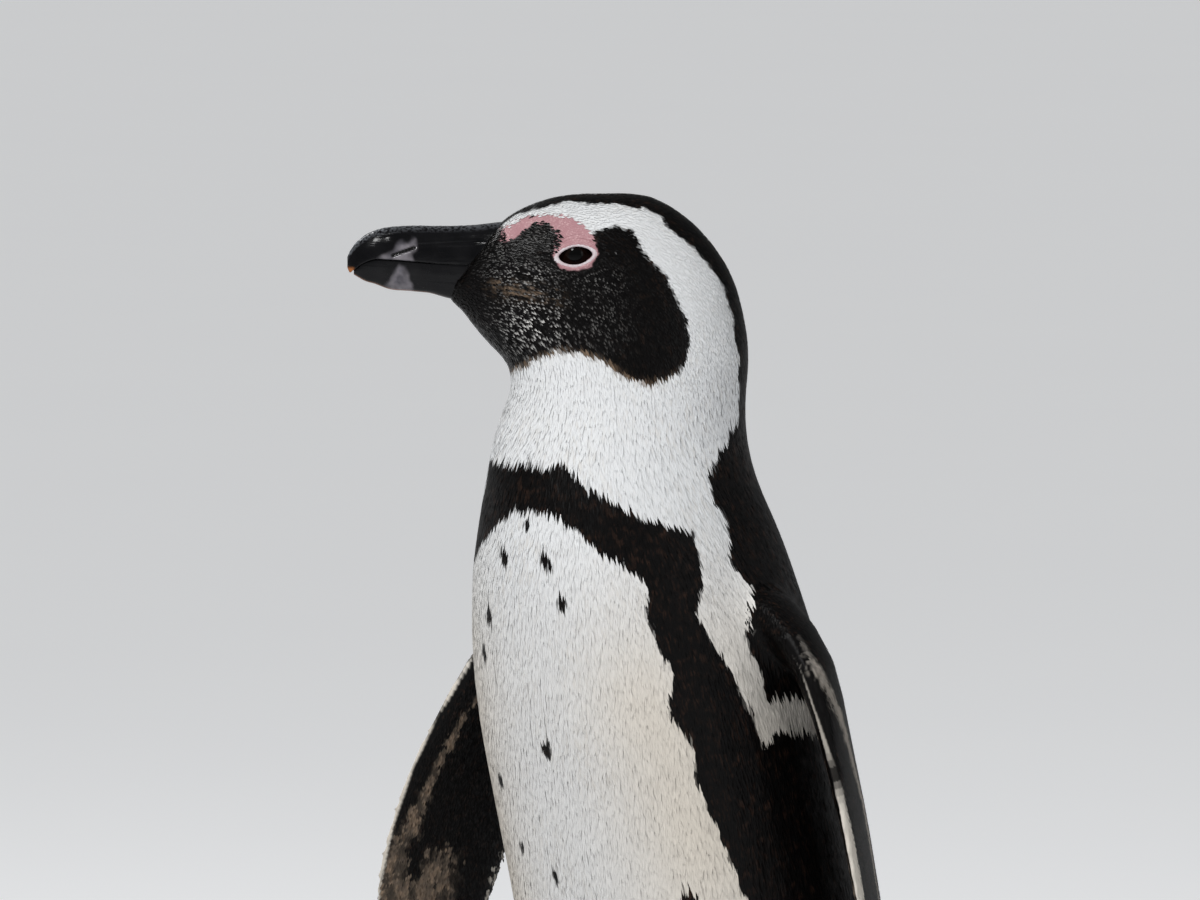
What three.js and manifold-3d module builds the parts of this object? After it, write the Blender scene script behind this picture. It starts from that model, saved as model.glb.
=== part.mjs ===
// An adult African penguin, life size, standing with its head turned to its right.
// Millimetres, +Z up. The bird's body faces -Y, so its left side is at +X.

import * as THREE from 'three';
import Module from 'manifold-3d';

// Driving dimensions

const GAP = 0.3; // between neighbouring pieces
const RING = 28; // points round a section of the body
const HEAD_TURN = 46; // degrees, towards the bird's right
const NECK_AXIS_Y = -44.6; // upright line that the head turns about, at x = 0
const TRUNK_LEAN = 14.5; // degrees forward of upright

const EYE = { ahead: 17.2, height: 517, radius: 8.6, aside: 13.6 };
const EYE_OPENING = { length: 13.2, height: 7.6 };

const FOOT = { aside: 34, ankleY: 8, ankleHeight: 25 };
const TOES = {
  inner: { length: 54, spread: 24, radius: 5.6, claw: 11 },
  middle: { length: 68, spread: -3, radius: 6.2, claw: 12.5 },
  outer: { length: 59, spread: -28, radius: 5.6, claw: 11 },
};
const HIND_TOE = { length: 11, radius: 3.4, claw: 6.5 };
const WEB_THICKNESS = 2.6;

// The body is one long form. Each station crosses it from its back line to its front line,
// both given as distance ahead of the neck axis and height. half is the half width there,
// and turn the share of the head's turn that the section takes.

function trunkStation(ahead, height, depth, half, lean = TRUNK_LEAN, turn = 0) {
  const angle = THREE.MathUtils.degToRad(lean);
  const across = depth * Math.cos(angle);
  const rise = depth * Math.sin(angle);
  return {
    back: [ahead - across, height + rise],
    front: [ahead + across, height - rise],
    half,
    turn,
  };
}

const BODY = [
  { back: [46.8, 528.5], front: [68.6, 499.3], half: 10.4, turn: 1 }, // bill base
  { back: [41.5, 532.4], front: [62.6, 494.6], half: 13.8, turn: 1 },
  { back: [33.5, 536.2], front: [57.2, 487.4], half: 17.6, turn: 1 }, // lores
  { back: [21.5, 539.4], front: [51.3, 480.6], half: 21.6, turn: 1 },
  { back: [5.5, 540], front: [46.4, 475.6], half: 25, turn: 1 }, // eye and cheek
  { back: [-12, 538.8], front: [42.8, 471.6], half: 27.6, turn: 1 }, // crown
  { back: [-29, 528], front: [41.4, 467.8], half: 30, turn: 1 },
  { back: [-41.8, 511.5], front: [42.8, 463.6], half: 32.4, turn: 1 }, // nape
  { back: [-47.8, 494.5], front: [44.9, 458.6], half: 34.6, turn: 1 },
  { back: [-50.2, 478], front: [47.2, 452.8], half: 36.8, turn: 0.98 }, // throat
  { back: [-49.2, 462], front: [49.4, 446], half: 39.4, turn: 0.9 },
  { back: [-49, 447], front: [51.6, 437], half: 43, turn: 0.72 }, // neck base
  trunkStation(0.9, 424, 54.1, 49.4, 6, 0.42),
  trunkStation(-1.4, 405, 59.4, 56.4, 10, 0.16),
  trunkStation(-6.6, 382, 62.6, 63, 13.5), // shoulders
  trunkStation(-15, 351, 64.8, 68.6),
  trunkStation(-25, 316, 64.8, 70.6),
  trunkStation(-35.8, 277, 64.6, 71.2),
  trunkStation(-46, 238, 65.6, 71.8),
  trunkStation(-55.6, 199, 66.4, 72), // belly
  trunkStation(-65, 159, 66, 71),
  trunkStation(-73.4, 123, 62.6, 68, 15),
  trunkStation(-81, 92, 54.4, 60.4, 18),
  trunkStation(-88.6, 67, 41.6, 47.6, 25),
  trunkStation(-96, 49, 26.5, 32, 36), // vent
  trunkStation(-101.4, 38.5, 12, 15.5, 44),
];
const HEAD_END = 8; // stations where the pieces part
const NECK_END = 12.6;
const HEAD_SECTIONS = 17;
const NECK_SECTIONS = 8;
const TRUNK_SECTIONS = 24;

// Each flipper's axis runs from inside the shoulder to its tip. chordTurn is how far its
// leading edge points out from straight ahead.

const FLIPPERS = {
  left: {
    axis: [[36, -31, 385], [59.5, -28, 382], [78.5, -21.5, 363], [88, -11, 316], [92, -1, 262], [97, 9, 203]],
    chordTurn: 36,
  },
  right: {
    axis: [[-34, -36, 392], [-49, -34, 384], [-60.5, -33, 361], [-88.5, -32, 312], [-116.5, -32, 262], [-142, -30, 210]],
    chordTurn: 20,
  },
};

// Along the blade: share of its length, then reach ahead and behind the axis, and thickness.
const BLADE = [
  [0, 8, 12, 20],
  [0.12, 14, 18, 18.5],
  [0.25, 23.5, 21.5, 15.5],
  [0.38, 28.5, 23, 11],
  [0.5, 30.5, 25.5, 8.6],
  [0.63, 29, 29.5, 7],
  [0.76, 24.5, 31, 5.8],
  [0.87, 16.5, 28, 4.8],
  [0.94, 8, 23, 3.8],
  [0.98, -0.5, 16.5, 2.8],
  [1, -6, 10.5, 1.8],
];
const BLADE_SECTIONS = 16;
const BLADE_RING = 16;

// Along the bill: distance ahead, top and bottom heights, and half width at the mouth line.
const UPPER_BILL = [
  [38, 529, 512.2, 8.6],
  [46.8, 528.4, 512.3, 8],
  [58.3, 527.2, 512.4, 7.2],
  [70, 526.9, 512.8, 6.7],
  [82, 527, 513.8, 6.5],
  [90, 526.4, 514.4, 6.3],
  [96, 524.9, 514.2, 5.7],
  [100.6, 522.2, 512.2, 4.6],
  [103.6, 519.2, 509.9, 3.4],
  [105.6, 516.6, 509.2, 2.1],
  [106.5, 514.8, 510.8, 0.8],
];
const LOWER_BILL = [
  [40, 512, 497, 8.4],
  [58, 512, 497.4, 7],
  [67.4, 512.3, 499, 6.4],
  [74.1, 512.8, 500.8, 6],
  [82, 513.5, 501.6, 5.8],
  [90, 514, 502.4, 5.4],
  [95, 513.8, 504.3, 4.7],
  [98.8, 512.2, 505.4, 3.9],
  [101.6, 510.4, 506.9, 2.9],
  [103.4, 509, 508, 1.6],
];
const BILL_SECTIONS = 15;
const BILL_RING = 14;

// Along the tail: share of its length, half width and half thickness.
const TAIL = { root: [0, 54, 66], tip: [0, 106, 7], sections: 8, ring: 14 };
const TAIL_SHAPE = [
  [0, 24, 15],
  [0.25, 28, 11],
  [0.5, 30, 7],
  [0.75, 25, 4.2],
  [0.92, 15, 2.6],
  [1, 8, 1.6],
];

// Along the leg, from inside the trunk down: place and half sizes across and along the bird.
const LEG = [
  { at: [31, 26, 106], across: 24, along: 28 },
  { at: [33, 20, 84], across: 22, along: 26 },
  { at: [34.4, 14, 62], across: 18, along: 21 },
  { at: [34.4, 10, 45], across: 13, along: 14.6 },
  { at: [34, 8, 33], across: 9.4, along: 10.4 },
  { at: [34, 8, FOOT.ankleHeight + GAP], across: 8.2, along: 9 },
];
const LEG_SECTIONS = 8;
const LEG_RING = 18;

// Shared shape tools

/** A smooth curve through rows of numbers, read by row index. */
function table(rows) {
  const curves = rows[0].map((_, column) => new THREE.CatmullRomCurve3(
    rows.map((row, index) => new THREE.Vector3(index, row[column], 0)),
    false,
    'catmullrom',
    0.5,
  ));
  return (index) => curves.map((curve) => curve.getPoint(index / (rows.length - 1)).y);
}

/** The same, read by the first number of each row. */
function profile(rows) {
  const read = table(rows);
  return (position) => {
    let low = 0;
    let high = rows.length - 1;
    for (let step = 0; step < 40; step += 1) {
      const middle = (low + high) / 2;
      if (read(middle)[0] < position) low = middle;
      else high = middle;
    }
    return read((low + high) / 2).slice(1);
  };
}

/** A closed solid through rings of points, each ring in one plane, with flat ends. */
function loft(rings) {
  const count = rings[0].length;
  const points = rings.flat();
  const faces = [];
  for (let row = 0; row < rings.length - 1; row += 1) {
    for (let k = 0; k < count; k += 1) {
      const a = row * count + k;
      const b = row * count + ((k + 1) % count);
      faces.push(a, b, b + count, a, b + count, a + count);
    }
  }
  for (const [start, flip] of [[0, true], [(rings.length - 1) * count, false]]) {
    const centre = points.length;
    const ring = points.slice(start, start + count);
    points.push(ring.reduce((sum, point) => sum.add(point), new THREE.Vector3()).divideScalar(count));
    for (let k = 0; k < count; k += 1) {
      const a = start + k;
      const b = start + ((k + 1) % count);
      faces.push(centre, flip ? b : a, flip ? a : b);
    }
  }
  return outward(points, faces);
}

/** Geometry from points and faces, turned so that its faces point out. */
function outward(points, faces) {
  let volume = 0;
  for (let k = 0; k < faces.length; k += 3) {
    const [a, b, c] = [0, 1, 2].map((corner) => points[faces[k + corner]]);
    volume += a.dot(new THREE.Vector3().crossVectors(b, c));
  }
  const index = volume > 0 ? faces : faces.slice().reverse();
  const geometry = new THREE.BufferGeometry();
  geometry.setAttribute('position', new THREE.Float32BufferAttribute(points.flatMap((p) => p.toArray()), 3));
  geometry.setIndex(index);
  return geometry;
}

/** A ring of points round a centre, from two half axes. */
function ellipse(centre, first, second, count, square = 2) {
  return Array.from({ length: count }, (_, k) => {
    const angle = (2 * Math.PI * k) / count;
    const one = Math.sign(Math.cos(angle)) * Math.abs(Math.cos(angle)) ** (2 / square);
    const two = Math.sign(Math.sin(angle)) * Math.abs(Math.sin(angle)) ** (2 / square);
    return centre.clone().addScaledVector(first, one).addScaledVector(second, two);
  });
}

/** Evenly spaced numbers from low to high. */
function steps(low, high, count) {
  return Array.from({ length: count }, (_, k) => low + ((high - low) * k) / (count - 1));
}

const library = await Module();
library.setup();

function solid(geometry) {
  const { position } = geometry.attributes;
  return new library.Manifold(new library.Mesh({
    numProp: 3,
    vertProperties: new Float32Array(position.array),
    triVerts: new Uint32Array(geometry.index.array),
  }));
}

function geometryOf(manifold) {
  const { numProp, vertProperties, triVerts } = manifold.getMesh();
  const geometry = new THREE.BufferGeometry();
  const count = vertProperties.length / numProp;
  const position = new Float32Array(count * 3);
  for (let k = 0; k < count; k += 1) {
    position.set(vertProperties.subarray(k * numProp, k * numProp + 3), k * 3);
  }
  geometry.setAttribute('position', new THREE.BufferAttribute(position, 3));
  geometry.setIndex(Array.from(triVerts));
  return geometry;
}

/** A ball or egg with shared vertices, centred on a point. */
function egg(centre, radii, across, up) {
  const rings = steps(0.02, Math.PI - 0.02, up).map((angle) => ellipse(
    centre.clone().add(new THREE.Vector3(0, 0, radii[2] * Math.cos(angle))),
    new THREE.Vector3(radii[0] * Math.sin(angle), 0, 0),
    new THREE.Vector3(0, radii[1] * Math.sin(angle), 0),
    across,
  ));
  return loft(rings);
}

// Places on the turned head and neck

/** The point that lies so far ahead of the neck axis, to the left and above the floor. */
function bodyPoint(ahead, left, height, turn) {
  const angle = THREE.MathUtils.degToRad(HEAD_TURN * turn);
  return new THREE.Vector3(
    -ahead * Math.sin(angle) + left * Math.cos(angle),
    NECK_AXIS_Y - ahead * Math.cos(angle) - left * Math.sin(angle),
    height,
  );
}

const bodyAt = table(BODY.map(({ back, front, half, turn }) => [...back, ...front, half, turn]));

/** One section across the body, grown by a margin. */
function bodyRing(station, margin) {
  const [backAhead, backHeight, frontAhead, frontHeight, half, turn] = bodyAt(station);
  const back = bodyPoint(backAhead, 0, backHeight, turn);
  const front = bodyPoint(frontAhead, 0, frontHeight, turn);
  const centre = back.clone().add(front).multiplyScalar(0.5);
  const left = bodyPoint(0, 1, 0, turn).sub(bodyPoint(0, 0, 0, turn));
  const towardsBack = back.sub(centre);
  const depth = towardsBack.length();
  towardsBack.multiplyScalar((depth + margin) / depth);
  return ellipse(centre, towardsBack, left.multiplyScalar(half + margin), RING, 2.12);
}

function bodyPiece(from, to, sections, margin = 0) {
  return loft(steps(from, to, sections).map((station) => bodyRing(station, margin)));
}

// Half the gap, measured in stations, at each place where the body is parted.
const HEAD_GAP = 0.02;
const NECK_GAP = 0.014;
const LAST = BODY.length - 1;

const trunkCutter = solid(bodyPiece(NECK_END + NECK_GAP, LAST, TRUNK_SECTIONS, GAP));

// Head, eyes and bill

function eyeCentre(side) {
  return bodyPoint(EYE.ahead, side * EYE.aside, EYE.height, 1);
}

function eyeball(side, margin = 0) {
  const radius = EYE.radius + margin;
  return egg(eyeCentre(side), [radius, radius, radius], 16, 10);
}

/** The space between the eyelids, from the eyeball out through the side of the head. */
function lidOpening(side) {
  const depths = [EYE.aside + 3, EYE.aside + 30];
  const ahead = bodyPoint(1, 0, 0, 1).sub(bodyPoint(0, 0, 0, 1));
  return loft(depths.map((aside) => ellipse(
    bodyPoint(EYE.ahead, side * aside, EYE.height, 1),
    ahead.clone().multiplyScalar(EYE_OPENING.length / 2),
    new THREE.Vector3(0, 0, EYE_OPENING.height / 2),
    16,
  )));
}

function headSolid() {
  let head = solid(bodyPiece(0, HEAD_END - HEAD_GAP, HEAD_SECTIONS));
  for (const side of [1, -1]) {
    head = head.subtract(solid(eyeball(side, GAP)));
    head = head.subtract(solid(lidOpening(side)));
  }
  return head;
}

/** Half a bill. Its section is an arch over the flat mouth line, upright or hanging. */
function billSolid(rows, upright) {
  const read = profile(rows);
  const rings = steps(rows[0][0], rows.at(-1)[0], BILL_SECTIONS).map((ahead) => {
    const [top, bottom, half] = read(ahead);
    const mouth = upright ? bottom : top;
    const crest = upright ? top : bottom;
    return Array.from({ length: BILL_RING }, (_, k) => {
      const angle = (Math.PI * k) / (BILL_RING - 1);
      const left = half * Math.sign(Math.cos(angle)) * Math.abs(Math.cos(angle)) ** 0.8;
      const height = mouth + (crest - mouth) * Math.max(Math.sin(angle), 0) ** 0.9;
      return bodyPoint(ahead, left, height, 1);
    });
  });
  return solid(loft(rings));
}

const headCutter = solid(bodyPiece(0, HEAD_END, HEAD_SECTIONS, GAP));

/** Moves a solid forward along the head by the gap, so that a flat cut leaves room. */
function billPiece(rows, upright) {
  const ahead = bodyPoint(GAP, 0, 0, 1).sub(bodyPoint(0, 0, 0, 1));
  return billSolid(rows, upright).subtract(headCutter.translate(ahead.toArray()));
}

// Flippers and tail

function flipperSolid({ axis, chordTurn }) {
  const line = new THREE.CatmullRomCurve3(axis.map((point) => new THREE.Vector3(...point)));
  const read = profile(BLADE);
  const side = Math.sign(axis[0][0]);
  const angle = THREE.MathUtils.degToRad(chordTurn);
  const ahead = new THREE.Vector3(side * Math.sin(angle), -Math.cos(angle), 0);
  const rings = steps(0, 1, BLADE_SECTIONS).map((share) => {
    const [reach, behind, thickness] = read(share);
    const along = line.getTangentAt(share);
    const chord = ahead.clone().addScaledVector(along, -ahead.dot(along)).normalize();
    const normal = new THREE.Vector3().crossVectors(along, chord).normalize();
    const centre = line.getPointAt(share).addScaledVector(chord, (reach - behind) / 2);
    chord.multiplyScalar((reach + behind) / 2);
    return ellipse(centre, chord, normal.multiplyScalar(thickness / 2), BLADE_RING);
  });
  return solid(loft(rings)).subtract(trunkCutter);
}

function tailSolid() {
  const root = new THREE.Vector3(...TAIL.root);
  const tip = new THREE.Vector3(...TAIL.tip);
  const along = tip.clone().sub(root).normalize();
  const across = new THREE.Vector3(1, 0, 0);
  const normal = new THREE.Vector3().crossVectors(along, across).normalize();
  const read = profile(TAIL_SHAPE);
  const rings = steps(0, 1, TAIL.sections).map((share) => {
    const [half, thick] = read(share);
    const centre = root.clone().lerp(tip, share);
    return ellipse(centre, across.clone().multiplyScalar(half), normal.clone().multiplyScalar(thick), TAIL.ring);
  });
  return solid(loft(rings)).subtract(trunkCutter);
}

// Legs and feet

function legSolid(side) {
  const read = table(LEG.map(({ at, across, along }) => [...at, across, along]));
  const rings = steps(0, LEG.length - 1, LEG_SECTIONS).map((index) => {
    const [x, y, z, across, along] = read(index);
    return ellipse(
      new THREE.Vector3(side * x, y, z),
      new THREE.Vector3(across, 0, 0),
      new THREE.Vector3(0, along, 0),
      LEG_RING,
    );
  });
  return solid(loft(rings)).subtract(trunkCutter);
}

/** Direction of a toe that is spread inwards by some degrees. */
function toeDirection(side, spread) {
  const angle = THREE.MathUtils.degToRad(spread);
  return new THREE.Vector3(-side * Math.sin(angle), -Math.cos(angle), 0);
}

function toeStart(side) {
  return new THREE.Vector3(side * FOOT.aside, FOOT.ankleY, 0);
}

/** A toe with rounded pads along it, flat where it meets the floor. */
function toe(side, { length, spread, radius }) {
  const ahead = toeDirection(side, spread);
  const across = new THREE.Vector3(-ahead.y, ahead.x, 0);
  const start = toeStart(side);
  const rings = steps(0, 1, 10).map((share) => {
    const pads = 1 + 0.07 * Math.cos(share * 6 * Math.PI);
    const taper = (1.18 - 0.42 * share) * pads * (share === 1 ? 0.72 : 1);
    const half = radius * taper;
    const centre = start.clone().addScaledVector(ahead, share * length);
    centre.z = half * 0.8;
    const ring = ellipse(centre, across.clone().multiplyScalar(half), new THREE.Vector3(0, 0, half), 10);
    ring.forEach((point) => { point.z = Math.max(point.z, 0); });
    return ring;
  });
  return solid(loft(rings));
}

/** The webs between the toes, thin sheets a little above the floor with hollowed edges. */
function web(side, first, second) {
  const start = toeStart(side);
  const ends = [first, second].map(({ length, spread }) => toeDirection(side, spread).multiplyScalar(length * 0.9));
  const middle = ends[0].clone().add(ends[1]).multiplyScalar(0.5 * 0.84);
  const edge = new THREE.QuadraticBezierCurve3(ends[0], middle, ends[1]).getPoints(5);
  const outline = [new THREE.Vector3(0, 0, 0), ...edge].map((point) => point.add(start));
  const low = outline.map((point) => point.clone().setZ(0.7));
  const high = outline.map((point) => point.clone().setZ(0.7 + WEB_THICKNESS));
  return solid(loft([low, high]));
}

function ankle(side) {
  const rings = [
    [0, 11.5, 13, 3],
    [5, 11.5, 13, 3],
    [12, 10, 11.2, 1],
    [19, 8.7, 9.5, 0],
    [FOOT.ankleHeight, 8.2, 9, 0],
  ].map(([height, across, along, back]) => ellipse(
    new THREE.Vector3(side * FOOT.aside, FOOT.ankleY + back, height),
    new THREE.Vector3(across, 0, 0),
    new THREE.Vector3(0, along, 0),
    LEG_RING,
  ));
  return solid(loft(rings));
}

/** The hind toe is small and sits inside the ankle, pointing forward and in. */
function hindToe(side) {
  const ahead = toeDirection(side, 52);
  return { start: toeStart(side).add(new THREE.Vector3(-side * 7, 1, 6.5)), ahead };
}

function hindToeSolid(side) {
  const { start, ahead } = hindToe(side);
  const across = new THREE.Vector3(-ahead.y, ahead.x, 0);
  const rings = steps(0, 1, 5).map((share) => {
    const half = HIND_TOE.radius * (1.1 - 0.4 * share);
    const centre = start.clone().addScaledVector(ahead, share * HIND_TOE.length);
    centre.z -= 2 * share;
    return ellipse(centre, across.clone().multiplyScalar(half), new THREE.Vector3(0, 0, half), 8);
  });
  return solid(loft(rings));
}

function footSolid(side) {
  const pieces = [
    ...Object.values(TOES).map((size) => toe(side, size)),
    web(side, TOES.inner, TOES.middle),
    web(side, TOES.middle, TOES.outer),
    hindToeSolid(side),
  ];
  return pieces.reduce((foot, piece) => foot.add(piece), ankle(side));
}

/** A claw that leaves the toe's end level and bends down to a blunt point. */
function clawSolid(root, ahead, length, radius) {
  const across = new THREE.Vector3(-ahead.y, ahead.x, 0);
  const rings = steps(0, 1, 5).map((share) => {
    const half = radius * (1 - 0.86 * share ** 1.3);
    const bend = share * 0.75;
    const up = ahead.clone().multiplyScalar(Math.sin(bend)).add(new THREE.Vector3(0, 0, Math.cos(bend)));
    const centre = root.clone().addScaledVector(ahead, share * length);
    centre.z -= 0.3 * length * share ** 2;
    return ellipse(centre, across.clone().multiplyScalar(half * 0.8), up.multiplyScalar(half), 8);
  });
  return solid(loft(rings));
}

function toeClaw(side, { length, spread, radius, claw }) {
  const ahead = toeDirection(side, spread);
  const root = toeStart(side).addScaledVector(ahead, length + GAP).setZ(radius * 0.72);
  return clawSolid(root, ahead, claw, radius * 0.42);
}

function hindClaw(side) {
  const { start, ahead } = hindToe(side);
  const root = start.clone().addScaledVector(ahead, HIND_TOE.length + GAP);
  root.z -= 2;
  return clawSolid(root, ahead, HIND_TOE.claw, HIND_TOE.radius * 0.5);
}

// The bird

const penguin = new THREE.Group();

const LOOKS = {
  black: { color: 0x1c1917, roughness: 0.75 },
  white: { color: 0xe6e5e2, roughness: 0.8 },
  bill: { color: 0x15161a, roughness: 0.3 },
  eye: { color: 0x120c09, roughness: 0.08 },
  foot: { color: 0x26231f, roughness: 0.55 },
  claw: { color: 0x1b1814, roughness: 0.4 },
};

function addNode(name, manifold, look) {
  const material = new THREE.MeshStandardMaterial({ metalness: 0, ...LOOKS[look] });
  const mesh = new THREE.Mesh(geometryOf(manifold), material);
  mesh.name = name;
  penguin.add(mesh);
}

addNode('head', headSolid(), 'black');
addNode('neck', solid(bodyPiece(HEAD_END + HEAD_GAP, NECK_END - NECK_GAP, NECK_SECTIONS)), 'white');
addNode('trunk', solid(bodyPiece(NECK_END + NECK_GAP, LAST, TRUNK_SECTIONS)), 'white');
addNode('tail', tailSolid(), 'black');
addNode('bill_upper', billPiece(UPPER_BILL, true), 'bill');
addNode('bill_lower', billPiece(LOWER_BILL, false), 'bill');

for (const [name, side] of [['left', 1], ['right', -1]]) {
  addNode(`eye_${name}`, solid(eyeball(side)), 'eye');
  addNode(`flipper_${name}`, flipperSolid(FLIPPERS[name]), 'black');
  addNode(`leg_${name}`, legSolid(side), 'white');
  addNode(`foot_${name}`, footSolid(side), 'foot');
  for (const [toeName, size] of Object.entries(TOES)) {
    addNode(`claw_${name}_${toeName}`, toeClaw(side, size), 'claw');
  }
  addNode(`claw_${name}_hind`, hindClaw(side), 'claw');
}

// The origin lies on the floor, under the middle of the whole bird.
const box = new THREE.Box3().setFromObject(penguin);
const middle = box.getCenter(new THREE.Vector3());
penguin.position.set(-middle.x, -middle.y, -box.min.z);

export default penguin;
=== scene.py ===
"""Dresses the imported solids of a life-size African penguin: skin, feathers, bill, eyes and claws."""

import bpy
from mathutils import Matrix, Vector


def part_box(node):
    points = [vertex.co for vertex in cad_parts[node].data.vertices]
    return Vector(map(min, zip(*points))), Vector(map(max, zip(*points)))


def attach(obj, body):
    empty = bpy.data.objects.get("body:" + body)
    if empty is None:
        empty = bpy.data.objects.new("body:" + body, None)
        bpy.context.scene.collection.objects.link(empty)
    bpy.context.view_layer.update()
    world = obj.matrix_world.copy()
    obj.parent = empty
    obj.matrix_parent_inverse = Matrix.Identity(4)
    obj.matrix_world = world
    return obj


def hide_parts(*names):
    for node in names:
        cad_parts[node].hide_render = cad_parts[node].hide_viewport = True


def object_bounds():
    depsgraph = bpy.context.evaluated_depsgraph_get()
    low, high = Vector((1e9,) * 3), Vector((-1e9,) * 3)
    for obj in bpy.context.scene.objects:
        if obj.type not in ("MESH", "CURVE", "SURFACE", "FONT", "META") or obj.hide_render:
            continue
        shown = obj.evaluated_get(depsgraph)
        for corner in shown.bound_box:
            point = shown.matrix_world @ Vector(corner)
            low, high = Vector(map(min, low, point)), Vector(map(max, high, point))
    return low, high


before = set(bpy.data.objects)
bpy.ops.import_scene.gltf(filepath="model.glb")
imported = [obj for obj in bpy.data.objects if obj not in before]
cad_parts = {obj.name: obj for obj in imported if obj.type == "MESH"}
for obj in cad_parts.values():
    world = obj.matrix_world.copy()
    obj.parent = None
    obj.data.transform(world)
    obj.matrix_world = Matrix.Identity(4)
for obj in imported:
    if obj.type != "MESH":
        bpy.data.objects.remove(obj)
CAD_BOX = [list(corner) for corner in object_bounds()]

import math

import bmesh
import bpy
import numpy as np
from mathutils import Vector
from mathutils.bvhtree import BVHTree

RNG = np.random.default_rng(7)
MM = 0.001

# The bird's own frame, in metres. Its zero lies between the ankles, on the floor.

HEEL = 24 * MM  # how far the heels lie behind zero
NECK_AXIS_Y = -44.6 * MM  # upright line that the head turns about
HEAD_TURN = math.radians(46)
SPINE_SLOPE = 0.259  # how far the trunk's middle moves back for each metre down
SPINE_TOP = 410 * MM
left_foot, right_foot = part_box("foot_left"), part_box("foot_right")
ZERO = np.array([(left_foot[1].x + right_foot[0].x) / 2, left_foot[1].y - HEEL, 0.0])
EYE = {"ahead": 17.3 * MM, "height": 517.0 * MM, "radius": 8.6 * MM}
FOOT_ASIDE, ANKLE_Y = 34, 8  # in mm
CORNEA = 0.5 * MM  # how far it stands out from the ball
LIDS = {"long": 6.8 * MM, "high": 3.55 * MM}
TAIL_ROOT = np.array([0, 54, 66]) * MM
TAIL_TIP = np.array([0, 106, 7]) * MM

SIDES = {"left": 1, "right": -1}
FLESH = ["head", "neck", "trunk", "tail"] + [
    f"{part}_{side}" for part in ("flipper", "leg", "foot") for side in SIDES
]


def ramp(x, low, high):
    """0 below low and 1 above high, with a smooth rise between them."""
    t = np.clip((x - low) / (high - low), 0, 1)
    return t * t * (3 - 2 * t)


def bell(x, width, power=2):
    """1 at x = 0, fading to both sides."""
    return np.exp(-((x / width) ** power))


def read_off(x, rows):
    """A value read off rows of (x, value), with straight lines between them."""
    return np.interp(x, *zip(*rows))


def in_mm(points):
    """Places in the bird's own frame, in mm."""
    return (points - ZERO) / MM


def unit(v):
    """Vectors of length 1."""
    return v / np.maximum(np.linalg.norm(v, axis=-1, keepdims=True), 1e-12)


def head_terms(points):
    """Distance ahead of the neck axis, to the left, and height, as the turned head has them."""
    p = points - ZERO
    sin, cos = math.sin(HEAD_TURN), math.cos(HEAD_TURN)
    y = p[:, 1] - NECK_AXIS_Y
    return -p[:, 0] * sin - y * cos, p[:, 0] * cos - y * sin, p[:, 2]


def head_mm(points):
    """The same in mm."""
    return [value / MM for value in head_terms(points)]


def from_head(ahead, left, height):
    """The place of a point given in the turned head's terms."""
    sin, cos = math.sin(HEAD_TURN), math.cos(HEAD_TURN)
    ahead, left, height = np.broadcast_arrays(ahead, left, height)
    x, y = left * cos - ahead * sin, NECK_AXIS_Y - ahead * cos - left * sin
    return np.stack([x, y, height], -1) + ZERO


# The way the bill points, and up.
HEAD_AHEAD = from_head(1, 0, 0) - from_head(0, 0, 0)
UP = np.array([0.0, 0.0, 1.0])


def turn_at(height):
    """How far the neck is turned at a height."""
    return HEAD_TURN * ramp(height, 385 * MM, 480 * MM)


def girth_terms(points):
    """Angle round the neck and trunk, 0 in front and positive on the left, and the radius."""
    p = points - ZERO
    turn = turn_at(p[:, 2])
    y = p[:, 1] - NECK_AXIS_Y
    ahead = -p[:, 0] * np.sin(turn) - y * np.cos(turn)
    left = p[:, 0] * np.cos(turn) - y * np.sin(turn)
    ahead = ahead + SPINE_SLOPE * np.maximum(SPINE_TOP - p[:, 2], 0)
    return np.degrees(np.arctan2(left, ahead)), np.hypot(left, ahead)


# Noise that any array of points can be given.


def noise(points, size, seed=0):
    """Smooth noise from about -1 to 1, with blobs about as wide as size."""
    p = points / size + seed * 17.13
    base = np.floor(p).astype(np.int64)
    f = p - base
    f = f * f * (3 - 2 * f)
    total = np.zeros(len(p))
    for corner in range(8):
        offset = np.array([corner & 1, corner >> 1 & 1, corner >> 2 & 1])
        key = (base + offset) @ np.array([73856093, 19349663, 83492791])
        key = (key ^ (key >> 13)) * 1274126177 & 0x7FFFFFFF
        value = (key % 20011) / 10005.5 - 1
        total += value * np.prod(np.where(offset, f, 1 - f), axis=1)
    return total


# Markings. Outlines on the head are (ahead, height) in mm, and on the body (angle, height) in
# degrees from the middle of the breast and mm.

CROWN_EDGE = [
    (60, 526), (46, 527.5), (43, 529.5), (34, 534), (20, 537), (3, 536), (-9, 534), (-17, 531.5),
    (-16, 529.5), (-30, 517.5), (-38, 507.5), (-43, 495), (-45.5, 477), (-47, 460), (-70, 455),
    (-90, 560), (60, 560),
]
MASK = [
    (70, 529), (47, 529), (43, 525), (38.5, 527.5), (34, 531), (27, 531.5), (20.5, 527), (20, 517),
    (18, 514), (11, 516), (11, 524), (8, 526.5), (2, 528.5), (-4, 527), (-11, 516), (-17.5, 509),
    (-24.5, 495), (-27, 486), (-25.5, 477), (-21, 471), (-12, 467), (-4, 469), (7, 476), (15, 479.5),
    (24, 479), (33, 475), (42, 469.5), (70, 462), (110, 500),
]
PINK = [
    (46.5, 527), (37, 531.5), (29, 533), (21, 532.5), (14.5, 529.5), (10, 524.5), (8.6, 518), (11, 513),
    (17, 511), (23.5, 512), (26, 517), (25, 524), (28, 528.5), (34, 528.5), (38.5, 524.5),
    (42.5, 522), (46.5, 521.5),
]
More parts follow.
